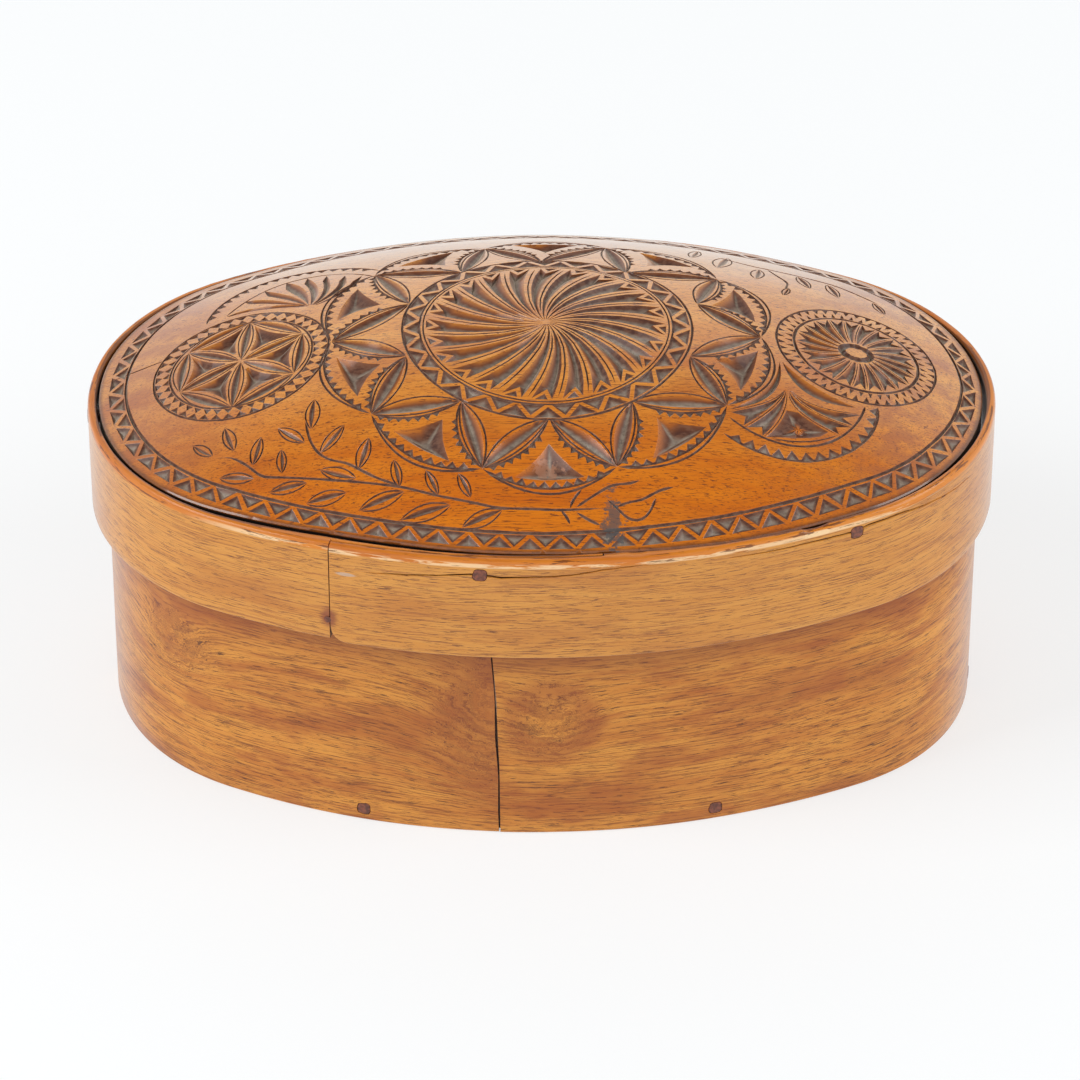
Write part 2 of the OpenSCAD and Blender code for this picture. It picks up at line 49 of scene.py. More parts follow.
CAMERA_ACROSS = 0.543 * MM
CAMERA_UP = -43.715 * MM
CAMERA_LENS = 194.97
CAMERA_FILM = 36
CAMERA_REACH = (0.05, 20)


def placed(name, data):
    """A new object in the scene."""
    thing = bpy.data.objects.new(name, data)
    bpy.context.scene.collection.objects.link(thing)
    return thing


forward = Vector((0, math.cos(CAMERA_TILT), -math.sin(CAMERA_TILT)))
upward = Vector((0, math.sin(CAMERA_TILT), math.cos(CAMERA_TILT)))
across = Vector((1, 0, 0))
camera = placed("camera", bpy.data.cameras.new("camera"))
camera.data.lens = CAMERA_LENS
camera.data.sensor_width = CAMERA_FILM
camera.data.clip_start, camera.data.clip_end = CAMERA_REACH
stand = -CAMERA_DISTANCE * forward - CAMERA_ACROSS * across - CAMERA_UP * upward
axes = Matrix((across, upward, -forward)).transposed().to_4x4()
camera.matrix_world = Matrix.Rotation(-CAMERA_TURN, 4, "Z") @ Matrix.Translation(stand) @ axes
bpy.context.scene.camera = camera


# Floor and light: a white sheet of paper in a light tent. The tent is bright low down, which is
# what the varnish mirrors at the back of the lid, and darker overhead.
class Value:
    """One output of a shader node; an expression on values adds its Math nodes."""

    def __init__(self, finish, socket):
        self.finish, self.socket = finish, socket

    def math(self, operation, first, second):
        return self.finish.node("ShaderNodeMath", {"operation": operation}, {0: first, 1: second})

    def between(self, low, high):
        """0 below low, 1 above high and a smooth rise from one to the other."""
        return self.finish.node("ShaderNodeMapRange", {"interpolation_type": "SMOOTHSTEP"},
                                {"Value": self, "From Min": low, "From Max": high})


for word, operation in (("add", "ADD"), ("sub", "SUBTRACT"), ("mul", "MULTIPLY"),
                        ("truediv", "DIVIDE"), ("pow", "POWER")):
    setattr(Value, f"__{word}__", lambda own, other, kind=operation: own.math(kind, own, other))
    setattr(Value, f"__r{word}__", lambda own, other, kind=operation: own.math(kind, other, own))


def tone(colour):
    """A colour as it is seen, in steps of 255, as the renderer's own numbers."""
    if isinstance(colour, Value):
        return colour
    return [((c / 255 + 0.055) / 1.055) ** 2.4 if c > 10 else c / 255 / 12.92
            for c in colour] + [1.0]


class Finish:
    """A material or a world in the making: a node tree and the ways to add to it."""

    def __init__(self, name, owner=None):
        self.owner = owner or bpy.data.materials.new(name)
        self.owner.use_nodes = True
        self.tree = self.owner.node_tree
        self.tree.nodes.clear()

    def node(self, kind, settings, sockets, output=0):
        """Adds one node: its settings first, then the values or links of its sockets."""
        made = self.tree.nodes.new(kind)
        for name, setting in settings.items():
            setattr(made, name, setting)
        for name, value in sockets.items():
            if isinstance(value, Value):
                self.tree.links.new(value.socket, made.inputs[name])
            else:
                made.inputs[name].default_value = value
        return Value(self, made.outputs[output]) if made.outputs else None

    def mix(self, share, first, second):
        """A colour between two colours."""
        return self.node("ShaderNodeMix", {"data_type": "RGBA"},
                         {0: share, 6: tone(first), 7: tone(second)}, 2)

    def lay(self, colour, *layers):
        """A colour with others laid over it, each by its share."""
        for share, over in layers:
            colour = self.mix(share, colour, over)
        return colour

    def noise(self, place, along, wide, detail=2.0, rough=0.5, output=0):
        """A noise with lumps of these sizes in millimetres along and across the wood."""
        scale = [1 / (size * MM) for size in (along, wide, wide)]
        lumps = self.node("ShaderNodeVectorMath", {"operation": "MULTIPLY"}, {0: place, 1: scale})
        return self.node("ShaderNodeTexNoise", {}, {
            "Vector": lumps, "Scale": 1.0, "Detail": detail, "Roughness": rough}, output)

    def here(self, output=3):
        """The place on the object, or with another output of the node a direction."""
        return self.node("ShaderNodeTexCoord", {}, {}, output)

    def attribute(self, name, output=2):
        """A value stored on the corners, or with output 1 a vector."""
        return self.node("ShaderNodeAttribute", {"attribute_name": name}, {}, output)

    def parts(self, place):
        """The x, y and z of a place."""
        return [self.node("ShaderNodeSeparateXYZ", {}, {0: place}, k) for k in range(3)]

    def bump(self, strength, reach, height):
        """A relief of a reach in millimetres."""
        return self.node("ShaderNodeBump", {}, {
            "Strength": strength, "Distance": reach * MM, "Height": height})

    def close(self, sockets):
        """Ends the tree in one shader and gives back the material."""
        shader = self.node("ShaderNodeBsdfPrincipled", {}, sockets)
        self.node("ShaderNodeOutputMaterial", {}, {0: shader})
        return self.owner


def smooth(mesh, crease):
    """Shades a mesh smooth but for edges sharper than a crease in degrees."""
    mesh.set_sharp_from_angle(angle=math.radians(crease))
    mesh.shade_smooth()


def solid(name, corners, faces, crease=None):
    """An object from corners in millimetres and faces."""
    mesh = bpy.data.meshes.new(name)
    mesh.from_pydata([(x * MM, y * MM, z * MM) for x, y, z in corners], [], faces)
    if crease:
        smooth(mesh, crease)
    return placed(name, mesh)


FLOOR_HALF = 4000
FLOOR_LEVEL = -0.1 * MM
LAMP_AIM = Vector((0, 0, 0.08))
TENT_LOW = 1.08
TENT_TOP = 0.12
floor = solid("floor", [(FLOOR_HALF * x, FLOOR_HALF * y, 0)
                        for x, y in ((-1, -1), (1, -1), (1, 1), (-1, 1))], [(0, 1, 2, 3)])
floor.location.z = FLOOR_LEVEL
floor.data.materials.append(Finish("paper").close({
    "Base Color": tone((172, 176, 179)), "Roughness": 0.9, "Specular IOR Level": 0.1,
    "Emission Color": (1.0, 1.0, 0.995, 1.0), "Emission Strength": 0.575}))

world = bpy.data.worlds.new("tent")
bpy.context.scene.world = world
tent = Finish("tent", world)
up = tent.parts(tent.here(0))[2]
bright = TENT_LOW - (TENT_LOW - TENT_TOP) * up.between(0.5, 0.9)
tent.node("ShaderNodeOutputWorld", {}, {0: tent.node(
    "ShaderNodeBackground", {}, {"Color": (1.0, 0.995, 0.985, 1.0), "Strength": bright})})

for name, place, size, power in (("key", (-1.5, -0.5, 1.35), (1.1, 1.1), 18.0),
                                 ("fill", (1.6, -0.3, 1.1), (0.9, 1.3), 11.0)):
    lamp = placed(name, bpy.data.lights.new(name, "AREA"))
    lamp.data.shape = "RECTANGLE"
    lamp.data.size, lamp.data.size_y = size
    lamp.data.energy = power
    lamp.location = place
    lamp.rotation_euler = (LAMP_AIM - Vector(place)).to_track_quat("-Z", "Y").to_euler()
bpy.context.scene.view_settings.view_transform = "Standard"
bpy.context.scene.view_settings.look = "None"


# Bottom board: a flat oval of plain wood inside the lower edge of the base band. It was never
# varnished, so it is dull, paler and a little dirty. The CAD solid is kept as it is.
def figure(finish, place, along, wide):
    """Gives a wood its marks: clouds, growth streaks of this size along and across the wood,
    fine threads and dark pores."""
    wander = finish.noise(place, along * 1.4, wide * 6, 1.0, output=1)
    finish.place = finish.node("ShaderNodeVectorMath", {"operation": "MULTIPLY_ADD"},
                               {0: wander, 1: (0.0, wide * MM, wide * MM), 2: place})
    finish.cloud = finish.noise(finish.place, along, wide * 3.5, 3.0, 0.55)
    finish.streak = finish.noise(finish.place, along * 1.2, wide, 5.0, 0.65)
    finish.thread = finish.noise(finish.place, along * 0.4, 0.6, 4.0, 0.7)
    finish.pore = finish.noise(finish.place, 7.0, 0.32, 3.0, 0.65)


raw = Finish("raw_board")
figure(raw, raw.here(), 60, 5)
colour = raw.lay(raw.mix(raw.streak.between(0.3, 0.7), (186, 140, 92), (154, 106, 62)),
                 (raw.cloud.between(0.45, 0.75) * 0.5, (128, 88, 54)),
                 (raw.pore.between(0.62, 0.72) * 0.6, (84, 54, 34)))
raw_board = raw.close({
    "Base Color": colour, "Roughness": 0.7 + 0.15 * raw.thread,
    "Normal": raw.bump(0.3, 0.2, raw.thread - raw.pore.between(0.6, 0.7))})
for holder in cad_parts["base_board"].material_slots:
    holder.material = raw_board


# Base band: a tall strip of thin wood, steamed and bent round the bottom board. The outer end
# lies over the inner one at the front, where it is thinned, and its varnish is orange brown.
class Oval:
    """Four arcs that meet with no corner, in a plan whose points are complex numbers. A way
    round starts at the middle of the front and runs to the right; an inset draws the oval in."""

    def __init__(self, half_length, half_width, end_radius):
        self.end_radius = end_radius
        self.near = half_length - end_radius
        self.side_radius = ((self.near ** 2 + half_width ** 2 - end_radius ** 2)
                            / (2 * (half_width - end_radius)))
        self.far = self.side_radius - half_width
        self.knee = math.atan2(self.far, self.near)
        self.side = self.side_radius * (math.pi / 2 - self.knee)
        self.end = end_radius * self.knee
        self.whole = 4 * (self.side + self.end)

    def spots(self, way, inset):
        """Points and outward directions at ways and insets."""
        run = (np.asarray(way, float) + self.side) % self.whole - self.side
        over = run > self.side + 2 * self.end
        run = np.where(over, run - self.whole / 2, run)
        front = run <= self.side
        turn = np.where(front, -math.pi / 2 + run / self.side_radius,
                        -self.knee + (run - self.side) / self.end_radius)
        radius = np.where(front, self.side_radius, self.end_radius) - inset
        sign = np.where(over, -1.0, 1.0)
        out = (np.cos(turn) + 1j * np.sin(turn)) * sign
        return np.where(front, 1j * self.far, self.near) * sign + out * radius, out

    def ways(self, points):
        """The ways round and insets of points: spots turned about."""
        x, y = np.abs(points.real), np.abs(points.imag)
        on_side = np.arctan2(y + self.far, x) > self.knee
        end_turn = np.arctan2(y, x - self.near)
        quarter = np.where(on_side, np.arctan2(x, y + self.far) * self.side_radius,
                           self.side + (self.knee - end_turn) * self.end_radius)
        inset = np.where(on_side, self.side_radius - np.hypot(x, y + self.far),
                         self.end_radius - np.hypot(x - self.near, y))
        way = np.where(points.imag < 0, quarter, self.whole / 2 - quarter)
        return np.where(points.real < 0, -way, way), inset

    def reach(self, turn):
        """Distance from the middle in a direction."""
        cosine, sine = np.abs(np.cos(turn)), np.abs(np.sin(turn))
        knee = math.atan2(self.end_radius * math.sin(self.knee),
                          self.near + self.end_radius * math.cos(self.knee))
        at_end = self.near * cosine + np.sqrt(
            np.maximum(self.end_radius ** 2 - (self.near * sine) ** 2, 0))
        at_side = np.sqrt(self.side_radius ** 2 - (self.far * cosine) ** 2) - self.far * sine
        return np.where(np.arctan2(sine, cosine) < knee, at_end, at_side)


OVAL_HALF_LENGTH = 152.0
OVAL_HALF_WIDTH = 99.5
OVAL_END_RADIUS = 82.0
STRIP_CREASE = 32
END_STEPS = (0, 0.35, 0.8, 1.4, 2.2, 3.2, 4.2)
CLOSE_BY = 0.05
LINE_DEPTH = 0.6
LINE_SLANT = 0.1
LINE_HALF = 0.14
OUTER_FACE = 27
LAP_RAMP = 20
PEG_CREASE = 40
PEG_SPARE = 0.12
PEG_SIDES = 20
PEG_SQUARENESS = 3.4
PEG_LEAN = 14
BASE_INSET = 5.7
BASE_WALL = 3.8
BASE_HEIGHT = 104.0
BASE_OUTER_END = -15.0
BASE_INNER_END = 74.0
BASE_STEP = 2.5
BASE_JOINT = 0.5
BASE_PEG_HEIGHT = 4.5
BASE_PEG_HALF = 2.3
BASE_PEG_SEED = 40
SWELLING = 2.1
SWELLING_WAY = 150
SWELLING_REACH = 55.0
SWELLING_TOP = 73
SWELLING_FADE = 12
LEAN_REACH = 30
base_peg_places = (-0.078, 0.073, 0.235, 0.4, 0.57, 0.745)
oval = Oval(OVAL_HALF_LENGTH, OVAL_HALF_WIDTH, OVAL_END_RADIUS)
# A smooth random number from -1 to 1 at each place; each use has a layer of its own
unevenness = np.vectorize(lambda x, y, z: noise.noise(Vector((x, y, z))))


def front_way(x, inset):
    """The way round to a distance from the middle of the front."""
    return math.asin(x / (oval.side_radius - inset)) * oval.side_radius


def lapped_stations(start, end, step, joint):
    """Ways along a lapped strip, close together at its ends and on both sides of a step."""
    last = oval.whole + end
    fine = [start + d for d in END_STEPS]
    body = list(np.arange(start + END_STEPS[-1] + step, last - 0.5, step))
    steps = [at + past for at in (end, oval.whole + start - joint) for past in (0, CLOSE_BY)]
    return np.array(sorted(fine + body + steps + [last - joint]))


def lapped_section(ways, start, end, inset, wall, joint):
    """Outer and inner insets of a lapped strip, and where it lies over or under itself. Its
    outer layer thins from the step at the inner end, with a thin line between the two layers."""
    over = ways < end + CLOSE_BY / 2
    under = ways > oval.whole + start - joint + CLOSE_BY / 2
    share = np.where(over, ways - start, ways - oval.whole - start) / (end - start)
    line = inset + wall * (LINE_DEPTH + LINE_SLANT * np.clip(share, 0, 1))
    outer = np.where(under, line + LINE_HALF, inset)
    inner = np.where(over, line - LINE_HALF, inset + wall)
    return outer, inner, over, under


def strip_section(outer, inner, low, high, rim, foot, crack):
    """Insets and heights of a strip's section at each station, as a loop: up the outer face
    with its crack, over the rim, down the inner face."""
    rim_out, rim_in, steep = rim
    split, split_depth, split_half = crack

    def turns(*degrees):
        return [(1 - math.sin(math.radians(d)), 1 - math.cos(math.radians(d))) for d in degrees]

    below, above = split - split_half * 3, split + split_half * 3
    outer_top, inner_top = high - rim_out * steep, high - rim_in * steep
    loop = [(outer + foot * s, low + foot * c) for s, c in turns(0, 30, 60)]
    loop += [(outer, low + foot + (below - low - foot) * k / 9) for k in range(10)]
    loop += [(outer + split_depth * depth, split + share * split_half)
             for share, depth in ((-1, 0), (-0.3, 0.75), (0, 1), (0.3, 0.75), (1, 0))]
    loop += [(outer, above + (outer_top - above) * k / 3) for k in range(3)]
    loop += [(outer + rim_out * c, high - rim_out * steep * s)
             for s, c in turns(0, 18, 36, 54, 72, 90)]
    loop += [(inner - rim_in * c, high - rim_in * steep * s) for s, c in turns(90, 60, 30, 0)]
    loop += [(inner, inner_top + (low + foot - inner_top) * k / 6) for k in range(1, 6)]
    loop += [(inner - foot * c, low + foot * s) for s, c in turns(0, 45, 90)]
    return (np.stack([pair[k] + 0 * outer for pair in loop], 1) for k in range(2))


def flattened(ways, start, under, way, level, size, depths, seed):
    """How far the outer face of a band lies in: a usual depth, its swing and the most."""
    usual, swing, most = depths
    into = np.clip(usual + swing * unevenness(way / size[0], level / size[1], seed), 0, most)
    into[:, OUTER_FACE:] = 0
    return into * (~under * np.clip((ways - start) / LAP_RAMP, 0, 1))[:, None]


def swelling(way, level):
    """How far the strip stands out below the lid, at the front right."""
    low_down = np.clip((SWELLING_TOP - level) / SWELLING_FADE, 0, 1)
    bell = np.exp(-((way - SWELLING_WAY) / SWELLING_REACH) ** 2)
    return SWELLING * bell * low_down * low_down * (3 - 2 * low_down)


def peg_shapes(places, insets, wall, height, half, seed, spare=0.0):
    """Corners and faces of squarish pegs, or with a spare of the cutters of their holes, driven
    in at shares of the way round."""
    shapes = []
    for number, (share, inset) in enumerate(zip(places, insets)):
        spot, out = (values[0] for values in oval.spots(np.array([share * oval.whole]), inset))
        chance = random.Random(seed + number)
        lean = math.radians(chance.uniform(-PEG_LEAN, PEG_LEAN))
        uneven = [chance.uniform(0.9, 1.06) for _ in range(4)]
        section = []
        for k in range(PEG_SIDES):
            a = 2 * math.pi * k / PEG_SIDES
            square = (abs(math.cos(a)) ** PEG_SQUARENESS
                      + abs(math.sin(a)) ** PEG_SQUARENESS) ** (-1 / PEG_SQUARENESS)
            r = half * square * uneven[4 * k // PEG_SIDES] * 0.98 + spare
            section.append((r * math.cos(a + lean), r * math.sin(a + lean)))
        rings = ((-wall - 12, 0.85), (-wall, 1.0), (-0.35, 1.0), (-0.12, 0.94), (-0.06, 0.7))
        if spare:
            rings = ((-wall - 3, 1.0), (3, 1.0))
        corners = []
        for depth, size in rings:
            for u, v in section:
                p = spot + out * depth + 1j * out * u * size
                corners.append((p.real, p.imag, height + v * size))
        rows = [range(k, k + PEG_SIDES) for k in range(0, len(corners), PEG_SIDES)]
        faces = [(low[i], low[(i + 1) % PEG_SIDES], high[(i + 1) % PEG_SIDES], high[i])
                 for low, high in zip(rows, rows[1:]) for i in range(PEG_SIDES)]
        faces += [tuple(reversed(rows[0])), tuple(rows[-1])]
        shapes.append((corners, faces))
    return shapes


def bent_strip(name, way, inset, level, cutters):
    """A strip from the ways, insets and heights of its sections, with its peg holes cut. Every
    corner keeps its place along the grain: way round, height and inset, in metres."""
    count, ring = way.shape
    points, _ = oval.spots(way, inset)
    corners = np.stack([points.real, points.imag, level], -1).reshape(-1, 3)
    a, b = ((np.arange(count - 1)[:, None] * ring + (np.arange(ring) + k) % ring).ravel()
            for k in range(2))
    faces = np.stack([a, a + ring, b + ring, b], 1).tolist()
    faces += [list(range(ring)), [(count - 1) * ring + k for k in reversed(range(ring))]]
    piece = solid(name, corners, faces)
    near = kdtree.KDTree(len(corners))
    for k, place in enumerate(corners):
        near.insert(place, k)
    near.balance()
    cutters = [solid(f"hole_{k}", *shape, PEG_CREASE) for k, shape in enumerate(cutters)]
    for cutter in cutters:
        hole = piece.modifiers.new("hole", "BOOLEAN")
        hole.object, hole.solver = cutter, "EXACT"
    drilled = bpy.data.meshes.new_from_object(
        piece.evaluated_get(bpy.context.evaluated_depsgraph_get()))
    piece.modifiers.clear()
    piece.data = drilled
    for cutter in cutters:
        bpy.data.objects.remove(cutter)
    places = np.array([v.co for v in drilled.vertices]) / MM
    found_way, found_inset = oval.ways(places[:, 0] + 1j * places[:, 1])
    nearest = np.array([way.ravel()[near.find(p)[1]] for p in places])
    found_way += oval.whole * np.round((nearest - found_way) / oval.whole)
    grain = np.stack([found_way, places[:, 2], found_inset], 1).astype(np.float32)
    attribute = drilled.attributes.new("grain", "FLOAT_VECTOR", "POINT")
    attribute.data.foreach_set("vector", grain.ravel() * MM)
    smooth(drilled, STRIP_CREASE)
    return piece


start, end = (front_way(x, BASE_INSET) for x in (BASE_OUTER_END, BASE_INNER_END))
ways = lapped_stations(start, end, BASE_STEP, BASE_JOINT)
outer, inner, over, under = lapped_section(ways, start, end, BASE_INSET, BASE_WALL, BASE_JOINT)
rim = (np.where(under, 0.15, 0.7), np.where(over, 0.15, 0.7), 1)
inset, level = strip_section(outer, inner, 0, BASE_HEIGHT, rim, np.where(under, 0.1, 0.5),
                             (70, 0, 0.5))
# The outer end leans and bows a little, and the joint before it opens at the bottom
bow = np.interp(level, [0, 28, 38, 55, 71, 104], [0.0, -0.2, -0.8, -1.1, -2.4, -3.6])
opened = np.interp(level, [0, 8, 25, 32, 42, 60, 104], [0.0, 0.25, 0.0, 0.35, 0.4, 0.05, 0.0])
from_start, from_step = (np.clip(1 - np.abs(ways - at) / LEAN_REACH, 0, 1)[:, None]
                         for at in (start, oval.whole + start - BASE_JOINT))
way = ways[:, None] + bow * from_start + (bow - opened) * from_step
inset = inset + flattened(ways, start, under, way, level, (60, 40), (0.16, 0.2, 0.4), 15.3)
inset = inset - swelling(way, level)
base_peg_insets = [BASE_INSET - float(swelling(share * oval.whole, BASE_PEG_HEIGHT))
                   for share in base_peg_places]
base_peg_sizes = (base_peg_places, base_peg_insets, BASE_WALL, BASE_PEG_HEIGHT, BASE_PEG_HALF,
                  BASE_PEG_SEED)
base_band = bent_strip("base_strip", way, inset, level, peg_shapes(*base_peg_sizes, PEG_SPARE))


def varnished(finish, colour, gloss, painted_sheen, slant):
    """Closes a varnished wood: its colour, mixed towards a pale painted sheen where it is seen
    aslant, a soft coat and the fine unevenness of its face."""
    rough, coat, coat_rough, relief = gloss
    # The base colour turns pale where the face is seen aslant: a painted sheen that stands in for
    # reflection
    aslant = finish.node("ShaderNodeLayerWeight", {}, {"Blend": 0.5}, 1)
    uneven = finish.noise(finish.place, 7, 2.5, 2.0, 0.55)
    face = uneven * 0.5 + finish.thread * 0.5 - finish.pore.between(0.62, 0.74) * 0.9
    return finish.close({
        "Base Color": finish.mix(aslant.between(slant, 1.0) * 0.5, colour, painted_sheen),
        "Roughness": rough + 0.2 * uneven,
        "Coat Weight": coat, "Coat Roughness": coat_rough, "Coat IOR": 1.55,
        "Specular IOR Level": 0.15, "Normal": finish.bump(1.0, relief, face)})


def along_grain(finish):
    """A strip's own place along the grain, and its way round, height and inset apart; the way
    round is less than 0 left of the middle of the front. last is 1 near the strip's last end."""
    place = finish.attribute("grain", 1)
    run, rise, inward = finish.parts(place)
    last = run.math("GREATER_THAN", run, oval.whole / 2 * MM)
    return place, run - last * (oval.whole * MM), rise, inward, last


def knot_bell(run, rise, middle, reach):
    """1 in the middle of a knot, falling to 0 about it."""
    far_run, far_rise = ((way - at * MM) / (size * MM)
                         for way, at, size in zip((run, rise), middle, reach))
    bell = 1 / (1 + far_run * far_run + far_rise * far_rise)
    return bell * bell


def woody(finish, light, dark, cloudy, line, pore):
    """A varnished wood's colour: light and dark growth, clouds, fine lines and pores."""
    return finish.lay(finish.mix(finish.streak.between(0.3, 0.75), light, dark),
                      (finish.cloud.between(0.45, 0.72) * 0.7, cloudy),
                      (finish.thread.between(0.5, 0.62) * 0.65, line),
                      (finish.pore.between(0.57, 0.62) * 0.85, pore))


stain = Finish("base_varnish")
here, run, rise, inward, last = along_grain(stain)
# Knots lie on both sides of the joint and at the left end; the grain swirls about them
knot = knot_bell(run, rise, (-17, 44), (24, 30)) * last
ringed = knot_bell(run, rise, (2, 46), (17, 17)) * (1 - last)
whorl = knot_bell(run, rise, (-137, 52), (24, 16))
unruly = 0.55 + 0.9 * stain.noise(here, 26, 14)
swirling = (knot + ringed + whorl * 0.7).between(0.1, 0.6)
fuzz = (stain.noise(here, 2.6, 1.1, 3.0, 0.6) - 0.5) * swirling
heave = unruly * (knot * (20 * MM) + ringed * (9 * MM) + whorl * (11 * MM)) + fuzz * (7 * MM)
swirled = stain.node("ShaderNodeCombineXYZ", {}, {0: run, 1: rise + heave, 2: inward})
figure(stain, swirled, 60, 4.5)
blotch = stain.noise(swirled, 24, 9, 3.0, 0.6).between(0.48, 0.68)
reddish = knot.between(0.1, 0.5) + ringed.between(0.15, 0.35) * (1 - ringed.between(0.4, 0.8))
rings = stain.noise(swirled, 12, 1.3, 4.0, 0.75).between(0.48, 0.64)
inside = inward.between(8.3 * MM, 9.2 * MM)
below_rim = 1 - rise.between(102.6 * MM, 103.2 * MM)
in_joint = inward.between(6.35 * MM, 6.8 * MM) * (1 - inside) * below_rim
colour = stain.lay(
    woody(stain, (212, 144, 60), (190, 116, 44), (160, 86, 34), (116, 58, 30), (70, 36, 24)),
    (blotch * 0.45, (152, 76, 34)),
    (reddish * 0.45, (142, 68, 34)),
    (rings * swirling * 0.4, (96, 46, 28)),
    # Darker and redder towards the top, under the lid: painted shade of the lid, together with a
    # redder stain
    (rise.between(58 * MM, 76 * MM) * 0.62, (146, 78, 42)),
    (inside * 0.85, stain.mix(stain.streak, (190, 146, 98), (160, 114, 70))),
    (in_joint * 0.9, (64, 34, 22)))
# The last two values: the pale painted sheen seen aslant, and where it begins
base_varnish = varnished(stain, colour, (0.4, 0.35, 0.22, 0.07), (194, 176, 170), 0.5)
base_band.data.materials.append(base_varnish)
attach(base_band, "base")
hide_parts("base_band")


# Base pegs: whittled wooden pegs, squarish and cut flush, through the base band into the edge
# of the bottom board. They are darker and redder than the band.
dark = Finish("peg_wood")
here = dark.here()
peg_wood = dark.close({
    "Base Color": dark.mix(dark.noise(here, 1.2, 1.2, 3.0).between(0.35, 0.65),
                           (128, 66, 42), (84, 40, 26)),
    "Roughness": 0.45, "Coat Weight": 0.2, "Coat Roughness": 0.25,
    "Normal": dark.bump(0.8, 0.1, dark.noise(here, 0.8, 0.8, 3.0))})


def joined(name, shapes):
    """One object from several shapes that lie apart."""
    corners, faces = [], []
    for more_corners, more_faces in shapes:
        faces += [[len(corners) + i for i in face] for face in more_faces]
        corners += more_corners
    return solid(name, corners, faces, PEG_CREASE)


base_pegs = joined("base_peg_heads", peg_shapes(*base_peg_sizes))
base_pegs.data.materials.append(peg_wood)
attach(base_pegs, "base")
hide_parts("base_pegs")


# Lid board: one thick oval board, domed on top, hollowed underneath and let into the lid band.
# Its top was chip carved with a knife before it was varnished, and the cuts hold old dirt and
# painted shade.
BOARD_SIZES = (146.4, 94.9, 77.4)
BOARD_LOW = 104.2
BOARD_EDGE = 112.8
BOARD_CROWN = 141.4
BOARD_CREASE = 12
BACK_LIFT = 3.3
DOME_POWER = 2.15
HOLLOW_RISE = 26.4
LEDGE = 17.0
KNIFE_SEED = 11
board = Oval(*BOARD_SIZES)
ledge = Oval(*(size - LEDGE for size in BOARD_SIZES))
# The knife's cuts are three-cornered sides in the plan, in millimetres. A side's corner holds its
# place, its depth, how near it is to the keel of the cut and how much dirt and painted shade lies
# there
draw = random.Random(KNIFE_SEED)
sides = []


def dome(points):
    """Heights of the uncarved dome over points of the plan; its back edge stands highest."""
    share = np.minimum(np.abs(points) / board.reach(np.angle(points)), 1)
    edge = (BOARD_EDGE + BACK_LIFT * (0.5 + points.imag / (2 * BOARD_SIZES[1])) ** 2
            - np.clip(points.real / BOARD_SIZES[0], 0, 1))
    return BOARD_CROWN - (BOARD_CROWN - edge) * share ** DOME_POWER


def from_front(way):
    """A way round as a run to either side of the middle of the front."""
    return (way + board.whole / 2) % board.whole - board.whole / 2


def shrunk(way):
    """How far the dry board's edge lies inside its oval; less than 0 is outside."""
    return np.interp(
        from_front(way),
        (-386, -300, -215, -150, -110, -75, -50, -20, 20, 60, 110, 150, 193, 230, 300, 386),
        (-1.0, -1.2, -1.8, -1.0, 0.6, 1.9, 1.9, 1.3, 1.1, 0.1, 0.1, -0.3, -1.1, -1.2, -1.2, -1.0))


def polar(middle, radius, turn):
    """A place at a distance and a turn in degrees from a middle."""
    return middle + cmath.rect(radius, math.radians(turn))


def arc(first, last, sag, steps):
    """Points of a shallow arc between two points, bulging to the left by a sag."""
    chord = last - first
    out = 1j * chord / abs(chord)
    shares = [k / steps for k in range(steps + 1)]
    return [first + chord * t + out * (4 * sag * t * (1 - t)) for t in shares]


def measured(line):
    """A line's places, and how far along it each of them lies."""
    line = np.array(line)
    return line, np.concatenate([[0], np.cumsum(np.abs(np.diff(line)))])


def along(line, run, way):
    """The place on a line at a way along it."""
    return np.interp(way, run, line.real) + 1j * np.interp(way, run, line.imag)


def bent(places, count):
    """A smooth line through a few places."""
    places, run = measured(places)
    t, share = run / run[-1], np.linspace(0, 1, count)
    x, y = (np.polyval(np.polyfit(t, values, min(len(places) - 1, 4)), share)
            for values in (places.real, places.imag))
    return (x + 1j * y).tolist()


def shake(spot, by):
    return spot + complex(draw.uniform(-by, by), draw.uniform(-by, by))


def lens(left, keel, right, depths, soil_and_shade=(0.3, 0.6)):
    """A cut between two edges that meet at both ends, with its keel between them. soil_and_shade
    is the dirt at the left and the right edge, with painted shade that darkens one edge more."""
    for k in range(len(keel) - 1):
        low, high = ((keel[i], depths[i], 1.0, 1.0) for i in (k, k + 1))
        for line, dirt in zip((left, right), soil_and_shade):
            a, b = ((line[i], 0.0, 0.0, dirt) for i in (k, k + 1))
            sides.extend([(a, b, high), (a, high, low)])


def groove(line, half, depth, closed=False, taper=0.12):
    """A V groove along a line, of one width; open ends run out to nothing."""
    last = len(line) - 1
    left, right, depths = [], [], []
    for k, spot in enumerate(line):
        before, after = line[k - 1 if closed or k else 0], line[(k + 1) % (last + 1)]
        if k == last and not closed:
            after = spot
        size = 1.0 if closed else min(1.0, k / last / taper, (1 - k / last) / taper)
        size *= draw.uniform(0.85, 1.15)
        aside = 1j * (after - before) / (abs(after - before) or 1.0) * (half * size)
        left.append(spot + aside)
        right.append(spot - aside)
        depths.append(depth * size)
    if closed:
        left, line, right, depths = (row + row[:1] for row in (left, line, right, depths))
    lens(left, line, right, depths, (1.0, 1.0))


def leaf(first, last, sags, depth, steps=10):
    """A leaf-shaped V cut whose two edges and keel bulge by their own sags."""
    left, keel, right = (arc(first, last, sag, steps) for sag in sags)
    depths = [depth * math.sin(math.pi * k / steps) ** 0.8 for k in range(steps)] + [0.0]
    lens(left, keel, right, depths)


